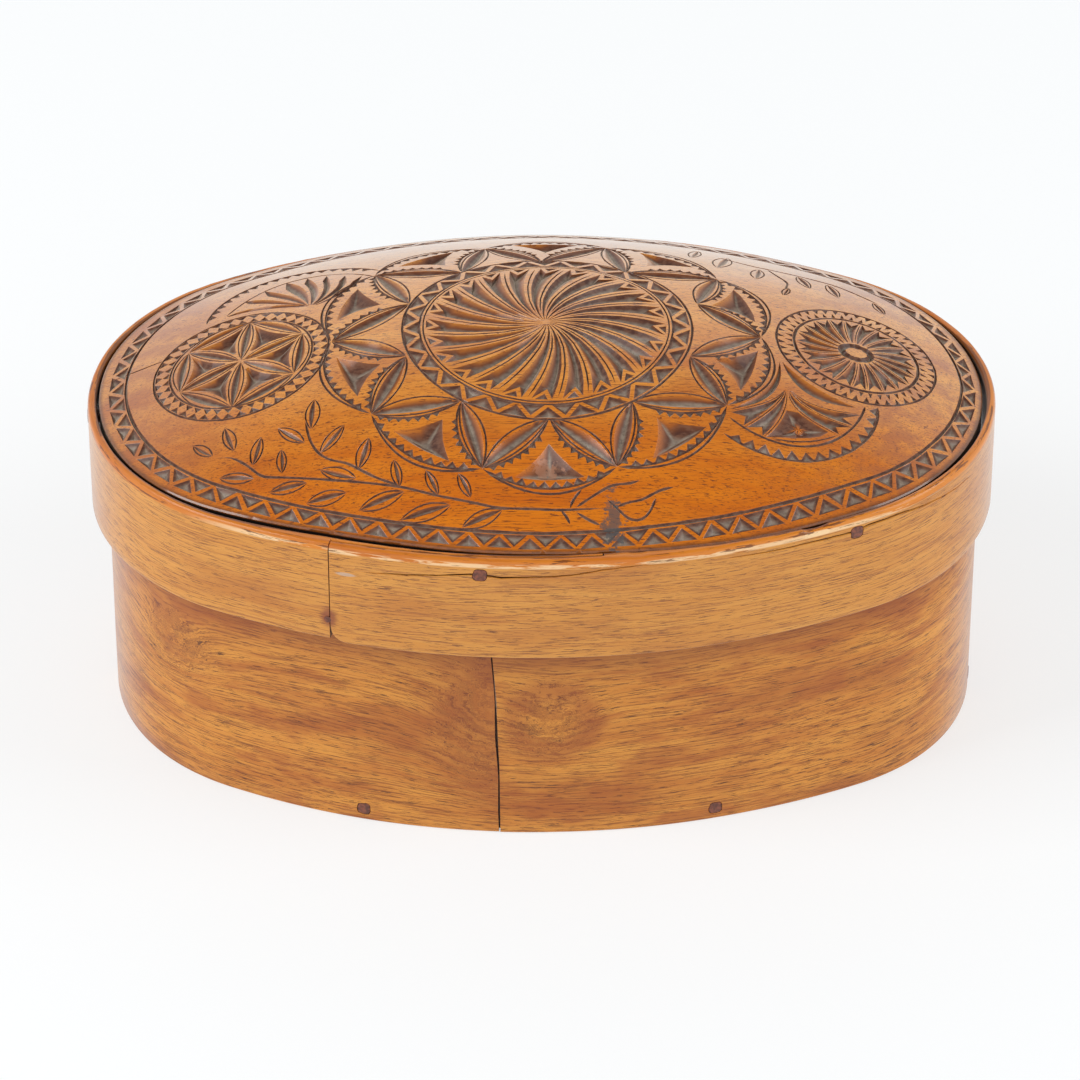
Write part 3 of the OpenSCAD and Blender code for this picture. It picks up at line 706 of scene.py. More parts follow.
def pit(outline, keels, deepest, depth, hollow=0.6, rubbed_and_lit=0.35):
    """A pit from an outline down to one deepest point, its sides slightly hollow. keels are the
    outline's places from which keels run down. rubbed_and_lit is how much less dirt and painted
    shade its left side has: its lit side is painted lighter."""
    depth *= draw.uniform(0.9, 1.1)
    rim, half_way = [], []
    for k, spot in enumerate(outline):
        keel = 1.0 if k in keels else 0.0
        lit_side = rubbed_and_lit if spot.real < deepest.real - 1.5 else 0.0
        rim.append((spot, 0.0, 0.6 * keel, 0.65 - lit_side))
        half_way.append(((spot + deepest) / 2, depth * hollow, 0.4 + 0.5 * keel,
                         0.9 - 0.5 * lit_side))
    for k in range(len(outline)):
        j = (k + 1) % len(outline)
        sides.extend([(rim[k], rim[j], half_way[j]), (rim[k], half_way[j], half_way[k]),
                      (half_way[k], half_way[j], (deepest, depth, 1.0, 1.0))])


def chip(a, b, c, depth, by=0.1):
    """A small three-cornered chip."""
    spots = [shake(spot, by) for spot in (a, b, c)]
    low = ((spots[0] + spots[1] + spots[2]) / 3, depth * draw.uniform(0.9, 1.1), 0.9, 1.0)
    rim = [(spot, 0.0, 0.55, 0.8) for spot in spots]
    sides.extend((rim[k], rim[(k + 1) % 3], low) for k in range(3))


def zigzag(count, place, low, high, pitch, ribbon, depth, skew=0.0, rise=None, by=0.1):
    """Pits on both sides of a zigzag ribbon between two lines; place turns a tooth's number
    and a distance into a point of the plan. rise is the distance between the lines."""
    rise = rise or abs(high - low)
    slant = math.hypot(pitch / 2, rise)
    trim = ribbon / 2 * slant / rise / pitch
    drop = ribbon * slant / pitch / rise * (high - low)
    for i in range(count):
        chip(place(i + trim, high), place(i + 1 - trim, high), place(i + 0.5 + skew, low + drop),
             depth, by)
        chip(place(i - 0.5 + trim + skew, low), place(i + 0.5 - trim + skew, low),
             place(i, high - drop), depth, by)


def ring_groove(middle, radius, count, wobble, half, depth):
    groove([polar(middle, radius + draw.uniform(-wobble, wobble), 360 * k / count)
            for k in range(count)], half, depth, closed=True)


def split_end(places, soil_and_shade, low):
    """The end of a flute, split round a raised tip: sides from places on top to one corner."""
    ends = [(place, 0.0, 0.3, soil_and_shade) for place in places]
    sides.extend((first, last, low) for first, last in zip(ends, ends[1:]))


def flute(left_ridge, right_ridge, notch, depth):
    """A flute between two ridges; its far end splits in two round a raised triangle."""
    left, right, keel = [], [], []
    for a, b in zip(bent(left_ridge, 9), bent(right_ridge, 9)):
        inset = min(0.5 / (abs(b - a) or 1), 0.3)
        left.append(a + (b - a) * inset)
        right.append(b - (b - a) * inset)
        keel.append(a + (b - a) * 0.4)
    depths = [depth * min(1.0, k / 4) for k in range(7)]
    lens(left[:-2], keel[:-2], right[:-2], depths, (0.8, 0.4))
    split_end(left[-3:] + [notch] + right[:-4:-1], 0.8, (keel[-3], depth, 1.0, 1.0))


def chips_along(line, first, last, count, height, depth, side):
    """A row of small chips with their bases on a line and their points to one side of it."""
    line, run = measured(line)
    bases = along(line, run, np.linspace(first, last, count + 1) * run[-1])
    for a, b in zip(bases, bases[1:]):
        out = 1j * (b - a) / abs(b - a)
        chip(a, b, (a + b) / 2 + side * height * draw.uniform(0.85, 1.15) * out, depth, 0.12)


def stem(*line):
    """A thin wavering stroke through a few places."""
    line, run = measured(line)
    soft = along(line, run, np.linspace(0, run[-1], max(6, int(run[-1] / 1.6))))
    for _ in range(2):
        soft[1:-1] = (soft[:-2] + 2 * soft[1:-1] + soft[2:]) / 4
    groove(list(soft), 0.46, 0.55, taper=0.08)


def spray(*leaves):
    """Small leaves: a V cut a little to one side of the middle, and a fine line all round."""
    for base, tip, cut_side in leaves:
        wide = 0.17 * abs(tip - base) * draw.uniform(0.9, 1.1)
        leaf(base, tip, (-cut_side * 0.3 * wide, cut_side * 0.1, cut_side * 0.55 * wide), 0.7, 8)
        for sag in (-wide, wide):
            groove(arc(base, tip, sag, 8), 0.3, 0.45)


# Border: a zigzag of uneven width between the board's edge and a broad groove
BORDER_TEETH = 76
border_ways = (-386, -290, -193, -110, -60, 0, 60, 110, 150, 193, 290, 386)
border_lines = ((1.6, 1.8, 1.8, 2.6, 3.3, 2.4, 2.4, 2.6, 2.0, 1.2, 1.8, 1.6),
                (7.2, 7.2, 6.8, 7.4, 7.6, 6.5, 7.4, 8.4, 7.6, 5.2, 7.2, 7.2))


def on_border(tooth, share):
    """A place on the border; share is 0 at the zigzag's outer line and 1 at its inner line."""
    way = tooth / BORDER_TEETH * board.whole
    outer_line, inner_line = (np.interp(from_front(way), border_ways, line)
                              for line in border_lines)
    return complex(board.spots(way, outer_line + (inner_line - outer_line) * share)[0])


zigzag(BORDER_TEETH, on_border, 1.0, 0.0, board.whole / BORDER_TEETH, 1.1, 1.3, rise=4.6, by=0.2)
groove([on_border(k / 3, 1.15) for k in range(BORDER_TEETH * 3)], 0.55, 0.8, closed=True)

# Central rosette: 24 whirling flutes parted by pairs of ridges, inside a toothed ring
FLUTES = 24
HALF_TURN = 7.5
RIDGE_HALF = 0.36
RIDGE_SPREAD = 0.033
PRONG_RADIUS = 39.9
PRONG_HALF = 3.5
RING_TEETH = 26
rosette = 1.5+0.3j
flute_sizes = ((1.2, 0.0), (3.0, 0.3), (6.0, 0.5), (10.0, 0.8), (15.0, 1.15), (20.0, 1.45),
               (25.0, 1.75), (30.0, 1.95), (33.8, 2.0))


def whirl(radius, turn):
    """A place on a ray that turns as it nears the middle."""
    swing = np.interp(radius, [1, 5, 10, 20, 30, 40], [34, 27, 21, 12.5, 6, 0])
    return polar(rosette, radius, turn + float(swing))


for k in range(FLUTES):
    turn = -3 + 15 * k + draw.uniform(-0.5, 0.5)
    left, right, keel = [], [], []
    for radius, _ in flute_sizes:
        ridge = math.degrees((RIDGE_HALF + RIDGE_SPREAD * radius) / radius)
        opened = max(HALF_TURN - ridge, 0.42 * HALF_TURN)
        for line, aside in ((left, opened), (right, -opened), (keel, opened * 0.3)):
            line.append(whirl(radius, turn + aside))
    # One edge of each flute gets more dirt and painted shade than the other
    lens(left, keel, right, [depth for _, depth in flute_sizes], (0.8, 0.35))
    # The flute's end splits into two prongs round a raised chevron
    prong = math.degrees(PRONG_HALF / PRONG_RADIUS)
    split_end((left[-1], whirl(PRONG_RADIUS, turn + prong), whirl(35.4, turn),
               whirl(PRONG_RADIUS, turn - prong), right[-1]), 0.6, (keel[-1], 2.0, 1.0, 1.0))
    chip(whirl(40.0, turn + 3.2), whirl(40.0, turn - 3.2), whirl(37.3, turn), 0.9)
    groove([whirl(r, turn + HALF_TURN) for r in (6, 10, 15, 20, 25, 30, 35, 39.6)], 0.3, 0.5)
ring_groove(rosette, 40.9, 72, 0.06, 0.3, 0.5)
ring_groove(rosette, 42.1, 72, 0.06, 0.36, 0.5)
zigzag(RING_TEETH, lambda t, r: polar(rosette, r, 360 * t / RING_TEETH), 42.2, 47.9,
       2 * math.pi * 44.9 / RING_TEETH, 1.25, 1.2)
groove([polar(rosette, 48.2 + 0.4 * math.cos(math.radians(turn + 20)), turn)
        for turn in range(0, 360, 5)], 0.45, 0.6, closed=True)

# Ten lobes: two leaves and a deep three-sided pit each, edged with rows of small chips
inner_nodes = (1.8-47.4j, 29-39.5j, 48.8-16.1j, 52.3+16.5j, 29+38j, 0.5+47j, -26.3+39.1j,
               -44.1+16.3j, -44.9-15.4j, -26.9-39j)
outer_nodes = (-20.2-65.9j, 23.5-65.4j, 60.2-37.9j, 73-0.1j, 59.9+38.7j, 22.8+67.5j,
               -18.4+66.2j, -55.8+43.8j, -69.9-1.9j, -56.3-41.1j)
for near, right_tip, left_tip in zip(inner_nodes, outer_nodes, outer_nodes[1:] + outer_nodes[:1]):
    for tip, sign in ((right_tip, -1), (left_tip, 1)):
        groove(arc(near, tip, sign * 4.2, 14), 0.36, 0.5, taper=0.06)
        leaf(near, tip, (sign * 3.1, sign * 0.4, sign * -2.0), 1.8)
        groove(arc(near, tip, sign * -3.0, 12), 0.34, 0.45, taper=0.08)
        groove(arc(near, tip, sign * -4.3, 12), 0.44, 0.6, taper=0.1)
        chips_along(arc(near, tip, sign * -4.4, 16), 0.25, 0.93, 7, 2.0, 1.0, -sign)
    for sag in (7.8, 9.6):
        groove(arc(left_tip, right_tip, sag, 16), 0.42, 0.6, taper=0.03)
    chips_along(arc(right_tip, left_tip, -7.6, 18), 0.09, 0.91, 10, 2.1, 1.0, 1)
    turn = math.degrees(cmath.phase((left_tip + right_tip) / 2 - rosette))
    low, right, left = (polar(rosette, r, turn + aside)
                        for r, aside in ((57.8, 0), (70.6, -9.3), (70.6, 9.3)))
    outline = (arc(low, right, 1.0, 4)[:-1] + arc(right, left, -1.2, 5)[:-1]
               + arc(left, low, 1.0, 4)[:-1])
    pit([shake(spot, 0.12) for spot in outline], (0, 4, 9), polar(rosette, 67.4, turn), 3.0)

# Star at the left: six petals and six arcs between their tips, in a double row of chips
STAR_TEETH = 42
star = -100-3j


def star_tip(turn):
    return polar(star, 22.8 + 1.2 * math.cos(math.radians(2 * (turn - 84))), turn)


for turn in range(-96, 264, 60):
    tip, after = star_tip(turn), star_tip(turn + 60)
    heart = polar(star, 0.6, turn)
    leaf(heart, tip, (1.45, 0.1, -1.45), 1.3)
    for sag in (2.3, -2.3):
        groove(arc(heart, tip, sag, 8), 0.26, 0.4)
    leaf(after, tip, (2.4, 0.5, -0.6), 1.5)
    groove(arc(after, tip, 3.6, 10), 0.3, 0.4)
    groove(arc(after, tip, -1.6, 10), 0.26, 0.4)
    outline = (arc(star, tip, 3.3, 14)[3:12] + arc(tip, after, 2.9, 14)[2:13]
               + arc(star, after, -3.3, 14)[11:2:-1])
    pit(outline, (0, 8, 18), polar(star, 12.0, turn + 30), 2.2, 0.62)
ring_groove(star, 23.8, 60, 0.04, 0.4, 0.5)
star_chips = (((0.06, 24.3), (0.94, 24.3), (0.62, 26.6)),
              ((0.26, 28.9), (1.14, 28.9), (0.55, 26.5)))
for k in range(STAR_TEETH):
    for row in star_chips:
        chip(*(polar(star, r, 360 * (k + t) / STAR_TEETH) for t, r in row), 0.8, 0.08)
ring_groove(star, 29.3, 64, 0.05, 0.42, 0.6)

# Wheel at the right: small swirling flutes round an oval boss, in a zigzag ring
SPOKES = 22
WHEEL_TEETH = 44
wheel = 105+1.5j
spoke_radii = (5.9, 9.0, 13.0, 17.0, 20.3)


def spoke(turn, radii=spoke_radii):
    return [polar(wheel, r, turn + 8 * (20 - r) / 14) for r in radii]


groove([wheel + complex(4.9 * math.cos(a), 3.9 * math.sin(a))
        for a in (2 * math.pi * k / 36 for k in range(36))], 1.35, 1.6, closed=True)
turns = [360 / SPOKES * k + draw.uniform(-0.8, 0.8) for k in range(SPOKES)]
for turn, after in zip(turns, turns[1:] + [turns[0] + 360]):
    flute(spoke(after), spoke(turn), spoke((turn + after) / 2, [17.2])[0], 1.3)
    groove(spoke(turn), 0.2, 0.35)
ring_groove(wheel, 20.9, 56, 0.05, 0.55, 0.8)
zigzag(WHEEL_TEETH, lambda t, r: polar(wheel, r, 360 * t / WHEEL_TEETH), 21.6, 26.4,
       2 * math.pi * 24 / WHEEL_TEETH, 1.45, 0.9, 0.15)
ring_groove(wheel, 26.8, 60, 0.05, 0.45, 0.6)

# Fan at the front right: flutes that spread from a point to a toothed arc, parted by fine ridges,
# and one pit that holds a raised knob
KNOB = 83.6-44j
KNOB_RADIUS = 1.6
KNOB_HEIGHT = 1.5
ridges = ((79.9-26.6j, 75.5-32.4j, 67.8-37.2j, 60.9-40.2j),
          (80-26.9j, 77.2-33.2j, 72.5-39.5j, 65.7-45.9j),
          (80.3-27.5j, 79.6-34.5j, 76.8-42j, 71.9-48.9j),
          (80.9-28j, 82.9-34.3j, 88.8-39.3j, 96.7-42.9j),
          (81.2-26.9j, 85.6-32.4j, 93.4-36.4j, 102-37.8j),
          (81.5-26.2j, 87-30.8j, 95.8-32.3j, 105.4-31j))
for k, notch in ((0, 66.1-41.7j), (1, 71.4-45.2j), (3, 96.1-39.7j), (4, 98.5-34.9j)):
    flute(ridges[k], ridges[k + 1], notch, 1.4)
for ridge in ridges:
    groove(bent(ridge, 10), 0.2, 0.3)
left, right = bent(ridges[2], 9), bent(ridges[3], 9)
pit([spot + 0.6 for spot in left[3:]] + arc(73.6-48.2j, 94.6-43.1j, -1.6, 5)[1:-1]
    + [spot - (0.5+0.5j) for spot in right[7:2:-1]], (0, 6, 10), 83.4-43j, 2.0, rubbed_and_lit=0.0)
leaf(78.6-12.5j, 60.8-39.4j, (4.2, 5.4, 6.9), 1.7, 12)
leaf(79.5-12.5j, 103.5-28.6j, (-2.8, -6.4, -7.6), 1.8, 12)
groove(bent((73.9-48.9j, 84-48.6j, 96.6-42.8j), 12), 0.3, 0.4)
groove(bent((60.6-42.6j, 66.1-46.6j, 72.2-49.3j, 82.6-50.8j, 91.5-47.8j, 100.7-39.5j,
             105.6-30.1j, 106.4-26.7j), 30), 0.45, 0.6, taper=0.02)
rim_line = bent((58.6-49.3j, 65-53.2j, 73.7-55.6j, 84.6-55.9j, 93.5-53j, 102.6-46.2j,
                 108.3-37.7j, 110.5-29.7j, 110.6-25.5j), 36)
groove(rim_line, 0.5, 0.6, taper=0.02)
chips_along(rim_line, 0.03, 0.99, 14, 3.2, 1.1, 1)

# Fan at the back left: eight flutes like fins in a toothed arc
for upper, lower in (
        ((-79.4+26j, -89.1+29.8j, -98.9+31.3j, -105.9+29.4j),
         (-79.4+24.7j, -89.1+27.5j, -98.8+29.3j, -104.9+29j)),
        ((-80.4+27j, -89.3+34j, -96.2+38j, -100.2+38.6j),
         (-80.4+26.4j, -89.2+31j, -95.1+34.2j, -98.5+35.7j)),
        ((-78.2+25.2j, -82.5+33.2j, -87+38.6j, -93.7+45.2j),
         (-78.4+24.8j, -82.9+29.9j, -88.3+35.4j, -92.1+39.1j)),
        ((-77.9+25.8j, -78.9+36.6j, -81.8+44.2j, -86.2+49.6j),
         (-78+25.3j, -81+32.3j, -83.9+37.5j, -86.2+42.5j)),
        ((-77+25.2j, -74.7+33.5j, -75.6+41.9j, -79+50.8j),
         (-77.4+25.2j, -77.4+32j, -78.2+38.8j, -79.9+44.7j)),
        ((-76.5+24.9j, -71.8+32.3j, -70.7+39.7j, -72.4+50.2j),
         (-76.8+25.1j, -73.6+33.2j, -73.2+39.4j, -73.7+44.7j)),
        ((-75.9+24.7j, -69.8+30.3j, -66.2+36.7j, -66.1+47.6j),
         (-76.2+25j, -71+31.9j, -68.6+37.3j, -68+42.4j)),
        ((-75.2+24.3j, -67+30.2j, -62.8+36.2j, -60.2+44.9j),
         (-75.6+24.6j, -68.3+30.8j, -64.8+36.3j, -63.2+40.6j))):
    left, right = bent(upper, 8), bent(lower, 7) + [upper[-1]]
    keel = [0.4 * a + 0.6 * b for a, b in zip(left, right)]
    lens(left, keel, right, (0.1, 0.5, 0.8, 1.1, 1.4, 1.6, 1.4, 0.0), (0.35, 0.8))
groove(bent((-106.1+29.5j, -102.4+35.1j, -98.2+40.3j, -89.6+46.6j, -80+51.6j, -70.2+50.8j,
             -60.4+46j, -55.5+41.8j), 26), 0.36, 0.45, taper=0.02)
rim_line = bent((-112.6+27.1j, -110.7+35.2j, -106.6+42.9j, -99.5+50.1j, -89.9+56j, -80.2+58.8j,
                 -70.4+57.8j, -60.5+53.1j, -54.1+48.3j), 36)
groove(rim_line, 0.45, 0.55, taper=0.02)
chips_along(rim_line, 0.03, 0.95, 17, 3.0, 1.0, -1)

# Sprays of leaves: stems of one stroke, and leaves of a fine outline with a V cut inside
stem(-108.3-47.5j, -102-49j, -97-53.3j, -92-59j, -85-60.5j, -62-66j, -46-70j, -35-74j,
     -15-79.5j, 5-80.5j, 20-79.5j)
stem(-78-40j, -76.5-48j, -74-53.5j, -70-57j, -64-59j, -60-62j, -55-65.5j, -46-70j)
spray((-108.3-46.7j, -115-40j, 1), (-101.2-46.7j, -104.5-35.8j, 1), (-95-54j, -92.5-43.3j, -1),
      (-85.3-59j, -85.7-50j, -1), (-94.5-59j, -106-56j, -1), (-77-64j, -89.5-65j, -1),
      (-64-69.5j, -77.5-71j, -1), (-61-65j, -73-60j, 1), (-76-44j, -75-31j, 1),
      (-78-49j, -87-41j, 1), (-73-54j, -65-44j, -1), (-60.5-62j, -57-50.5j, -1),
      (-47-70j, -49-60j, -1), (-34.5-74j, -38.5-65j, -1), (-24-75.6j, -28-67j, -1),
      (-45.3-71.6j, -60.3-76j, -1), (-30.3-77.5j, -47-81j, -1), (-13.7-80j, -27-85j, -1))
stem(8-80j, 9-77j, 12-73.5j)
stem(10-79.5j, 18-74j, 22-71.5j, 28-71j, 31-69.5j)
stem(23-79j, 27-77j, 31-76.5j, 34-74.5j, 38-72j, 42-71j)
stem(20-76.5j, 24-80j, 27-83j, 31-83j, 34-80j, 36-75j)
stem(5-80.5j, 7-82.5j, 8-85j)
stem(10-81j, 14-83.5j, 18-85j)
stem(61+66.7j, 73+60j, 88+56j, 101+52.5j, 109.7+46.7j, 116+42.5j)
stem(78+58j, 81+51j, 84.5+45j, 83+38j)
spray((64.7+68.3j, 60.5+51.7j, 1), (75+56.7j, 73.3+44j, 1), (84.3+40j, 82+32.5j, 1),
      (88+55j, 91.7+43.3j, 1), (98+51.7j, 101.3+40j, 1), (113.3+43.3j, 116.7+34.7j, 1),
      (55+75j, 52+62j, 1))

# A shrinkage crack from the board's left edge
groove([-147+6.6j, -141+7.6j, -135+8.3j, -128+9.4j, -121+9.2j], 0.3, 0.8, taper=0.3)

# The board's mesh: the plan is cut up along every edge of the cuts, and each corner is lifted to
# the dome less its depth
NO_AREA = 1e-4
EDGE_STEPS = 400
EDGE_ROUND = 0.45
EDGE_DROP = 0.3
PLAN_HALF = (144, 93)
CROWD = 2.4
SPACING = 3.0
CELL = 4.0
BARELY = 0.002
ALIKE = 0.01
places, edges, known = [], [], {}


def corner(spot):
    """The number of a place of the plan, which is kept to a thousandth of a millimetre."""
    key = (round(spot.real, 3), round(spot.imag, 3))
    if key not in known:
        known[key] = len(places)
        places.append(Vector(key))
    return known[key]


def cross(first, second):
    return (np.conj(first) * second).imag


def cell(spot, size):
    return math.floor(spot.real / size), math.floor(spot.imag / size)


sides = [side for side in sides
         if abs(cross(side[1][0] - side[0][0], side[2][0] - side[0][0])) > NO_AREA]
for side in sides:
    a, b, c = (corner(spot) for spot, *_ in side)
    edges += [(a, b), (b, c), (c, a)]
around = np.linspace(0, board.whole, EDGE_STEPS, endpoint=False)
loop = [corner(spot) for spot in board.spots(around, shrunk(around))[0]]
edges += list(zip(loop, loop[1:] + loop[:1]))
for spot in board.spots(around, shrunk(around) + EDGE_ROUND)[0]:
    corner(spot)
for k in range(40):
    corner(polar(KNOB, KNOB_RADIUS * (0.0, 0.45, 0.75, 1.0)[k % 4], 36 * (k // 4)))
edges = [e for e in set(tuple(sorted(e)) for e in edges) if e[0] != e[1]]
crowded = {cell(complex(*place), CROWD) for place in places}
for row, y in enumerate(np.arange(-PLAN_HALF[1], PLAN_HALF[1], SPACING)):
    for x in np.arange(-PLAN_HALF[0], PLAN_HALF[0], SPACING) + (row % 2) * SPACING / 2:
        free = cell(complex(x, y), CROWD) not in crowded
        if free and math.hypot(x, y) < board.reach(math.atan2(y, x)) - 1.5:
            places.append(Vector((x, y)))
found, _, triangles, _, _, _ = delaunay_2d_cdt(places, edges, [], 0, NO_AREA)
plan = np.array([complex(*place) for place in found])
depth, keel, soil_and_shade = np.zeros((3, len(plan)))
grid = {}
for k, spot in enumerate(plan):
    grid.setdefault(cell(spot, CELL), []).append(k)
for a, b, c in sides:
    xs, ys = ([part(spot) for spot, *_ in (a, b, c)] for part in (np.real, np.imag))
    near = [k for i in range(int(min(xs) // CELL), int(max(xs) // CELL) + 1)
            for j in range(int(min(ys) // CELL), int(max(ys) // CELL) + 1)
            for k in grid.get((i, j), ())]
    if not near:
        continue
    near = np.array(near)
    to_b, to_c, to_spot = b[0] - a[0], c[0] - a[0], plan[near] - a[0]
    v, w = cross(to_spot, to_c) / cross(to_b, to_c), cross(to_b, to_spot) / cross(to_b, to_c)
    u = 1 - v - w
    within = (u > -BARELY) & (v > -BARELY) & (w > -BARELY)
    deep = u * a[1] + v * b[1] + w * c[1]
    for values, place in ((keel, 2), (soil_and_shade, 3)):
        level = u * a[place] + v * b[place] + w * c[place]
        deeper = within & (deep > depth[near] + ALIKE)
        alike = within & ~deeper & (deep > depth[near] - ALIKE)
        values[near[deeper]] = level[deeper]
        values[near[alike]] = np.maximum(values[near[alike]], level[alike])
    better = within & (deep > depth[near])
    depth[near[better]] = deep[better]
away = np.minimum(np.abs(plan - KNOB) / KNOB_RADIUS, 1)
depth -= np.minimum(depth, KNOB_HEIGHT) * (1 - away ** 2) ** 0.7
soil_and_shade *= away ** 4
keel *= away ** 4
way, inset = board.ways(plan)
inset = inset - shrunk(way)
edge_drop = EDGE_DROP * (1 - np.clip(inset, 0, EDGE_ROUND) / EDGE_ROUND)
edge_drop *= inset < EDGE_ROUND - ALIKE
top = dome(plan) - np.maximum(depth, edge_drop)
corners = list(zip(plan.real, plan.imag, top))
faces = [t for t in triangles if len(t) == 3]
# The side wall, the flat ledge and the hollow underneath
rim = sorted((k for k in range(len(plan)) if inset[k] < 0.02), key=lambda k: way[k])
rows = [rim]
for drop in (0.55, 1.0):
    rows.append(list(range(len(corners), len(corners) + len(rim))))
    corners += [(*corners[k][:2], top[k] + (BOARD_LOW - top[k]) * drop) for k in rim]
for share in (1.0, 0.97, 0.9, 0.8, 0.65, 0.5, 0.35, 0.2, 0.08):
    rows.append(list(range(len(corners), len(corners) + len(rim))))
    for turn in np.angle(plan[rim]):
        spot = cmath.rect(ledge.reach(turn) * share, turn)
        corners.append((spot.real, spot.imag, BOARD_LOW + HOLLOW_RISE * (1 - share * share)))
for upper, lower in zip(rows, rows[1:]):
    faces += [(upper[i - 1], lower[i - 1], lower[i], upper[i]) for i in range(len(rim))]
faces += [(rows[-1][i - 1], len(corners), rows[-1][i]) for i in range(len(rim))]
corners.append((0, 0, BOARD_LOW + HOLLOW_RISE))
lid_board = solid("carved_board", corners, faces)
# Where a corner lies: its inset on top, -1 down the side and -3 underneath
where = np.full(len(corners), -3.0)
where[:len(plan)] = np.clip(inset, 0, 12)
where[len(plan):len(plan) + 2 * len(rim)] = -1.0
for name, values in (("cut", depth), ("keel", keel), ("soil_and_shade", soil_and_shade), ("edge", where)):
    values = np.concatenate([values, np.zeros(len(corners) - len(values))]).astype(np.float32)
    lid_board.data.attributes.new(name, "FLOAT", "POINT").data.foreach_set("value", values)
smooth(lid_board.data, BOARD_CREASE)

amber = Finish("lid_varnish")
here = amber.here()
x, y, _ = amber.parts(here)
figure(amber, here, 70, 7)
cut, keel, soil_and_shade, edge = (amber.attribute(name) for name in ("cut", "keel", "soil_and_shade", "edge"))
speck = amber.noise(here, 2.6, 1.1)
mottle = amber.noise(here, 11, 8, 4.0, 0.65).between(0.4, 0.62)
old = amber.noise(here, 3.0, 1.6, 3.0, 0.6)
ragged = amber.noise(here, 3.2, 3.2, 4.0, 0.7)
# From the middle back the colour is paler and yellower: a painted sheen where the varnish mirrors
# the bright tent
far_back = y.between(-0.075, 0.0)
light = amber.mix(far_back, (214, 120, 16), (226, 156, 66))
dark = amber.mix(far_back, (196, 98, 10), (208, 130, 42))
# The right end is mottled brown, and the left end a little browner too
left = 1 - x.between(-0.125, -0.085)
margin = (1 - edge.between(0.3, 1.7)) * (0.3 + 0.8 * old)
# Dirt and painted shade deepen from an edge to the keel, one side of a cut painted darker than the
# other; at the keel the dirt has dried to a pale grey
in_cut = cut.between(0.0, 0.1)
dirt_and_shade = (soil_and_shade + 0.25 * (old - 0.5)).between(0.45, 0.85) * in_cut
dust = keel.between(0.45, 0.95) * (old + 0.1) * cut.between(0.25, 0.9)
# Old dark wax that ran over the border, smeared at the front
smear_x, smear_y = x - 21.5 * MM, y + 84 * MM
far = (smear_x * smear_x * 50000 + smear_y * smear_y * 7000) ** 0.5
spread = ragged + 0.5 * (speck - 0.5) - 0.3 * far
# The pit nearest the front has crumbled to pale wood
pit_x, pit_y = smear_x + 20 * MM, smear_y - 18 * MM
crumbled = (ragged - pit_x * pit_x * 6000 - pit_y * pit_y * 14000).between(0.36, 0.46) * in_cut
# Bare wood underneath, and the side painted black: painted shade in the gap between board and band
painted_gap_shade = 1 - edge.between(-0.12, -0.01)
bare = amber.mix(amber.streak.between(0.3, 0.7), (190, 144, 96), (160, 112, 70))
colour = amber.lay(
    amber.mix(amber.streak.between(0.3, 0.75), light, dark),
    (amber.cloud.between(0.48, 0.72) * 0.55, (178, 92, 28)),
    (amber.thread.between(0.5, 0.66) * 0.5, (160, 80, 24)),
    (amber.pore.between(0.57, 0.63) * 0.85, (100, 46, 20)),
    (speck.between(0.66, 0.71) * 0.75, (96, 48, 30)),
    (mottle * x.between(0.05, 0.125) * 0.6, (158, 88, 52)),
    ((0.3 + 0.4 * mottle) * left, (160, 86, 42)),
    (margin, (96, 56, 30)),
    (soil_and_shade.between(0.1, 0.7) * in_cut, (140, 78, 38)),
    (dirt_and_shade, amber.mix(old.between(0.35, 0.65), (78, 46, 36), (112, 76, 58))),
    (dust, (164, 154, 138)),
    (spread.between(0.27, 0.38) * 0.8, (80, 78, 78)),
    (crumbled * 0.55, (180, 126, 96)),
    (painted_gap_shade, (22, 15, 12)),
    (1 - edge.between(-2.8, -1.6), bare))
dull = dirt_and_shade + in_cut * 0.6 * (1 - dirt_and_shade) + painted_gap_shade
# The last two values: the pale painted sheen seen aslant, and where it begins
lid_varnish = varnished(amber, colour, (0.3 + 0.3 * dull, 1.0 - 0.75 * dull, 0.12, 0.04),
                        (240, 220, 198), 0.6)
lid_board.data.materials.append(lid_varnish)
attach(lid_board, "lid")
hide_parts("lid_board")


# Lid band: a lower strip bent round the lid board, lapped at the front left. Its rim is worn
# round, and it has split along the line of its pegs. The varnish is more golden than the base's.
LID_WALL = 4.9
LID_THIN = 3.1
LID_OUTER_END = -69.9
LID_INNER_END = 19.0
LID_STEP = 1.25
LID_JOINT = 0.4
LID_LOW = 75.8
LID_TOP = 114.1
LID_CORNER = 5.5
LID_PEG_HEIGHT = 108.4
LID_PEG_HALF = 2.35
LID_PEG_SEED = 60
RIM_STEEP = 1.9
CRACK_END = 300
lid_peg_places = (-0.0264, 0.1302, 0.3, 0.465, 0.61, 0.755)
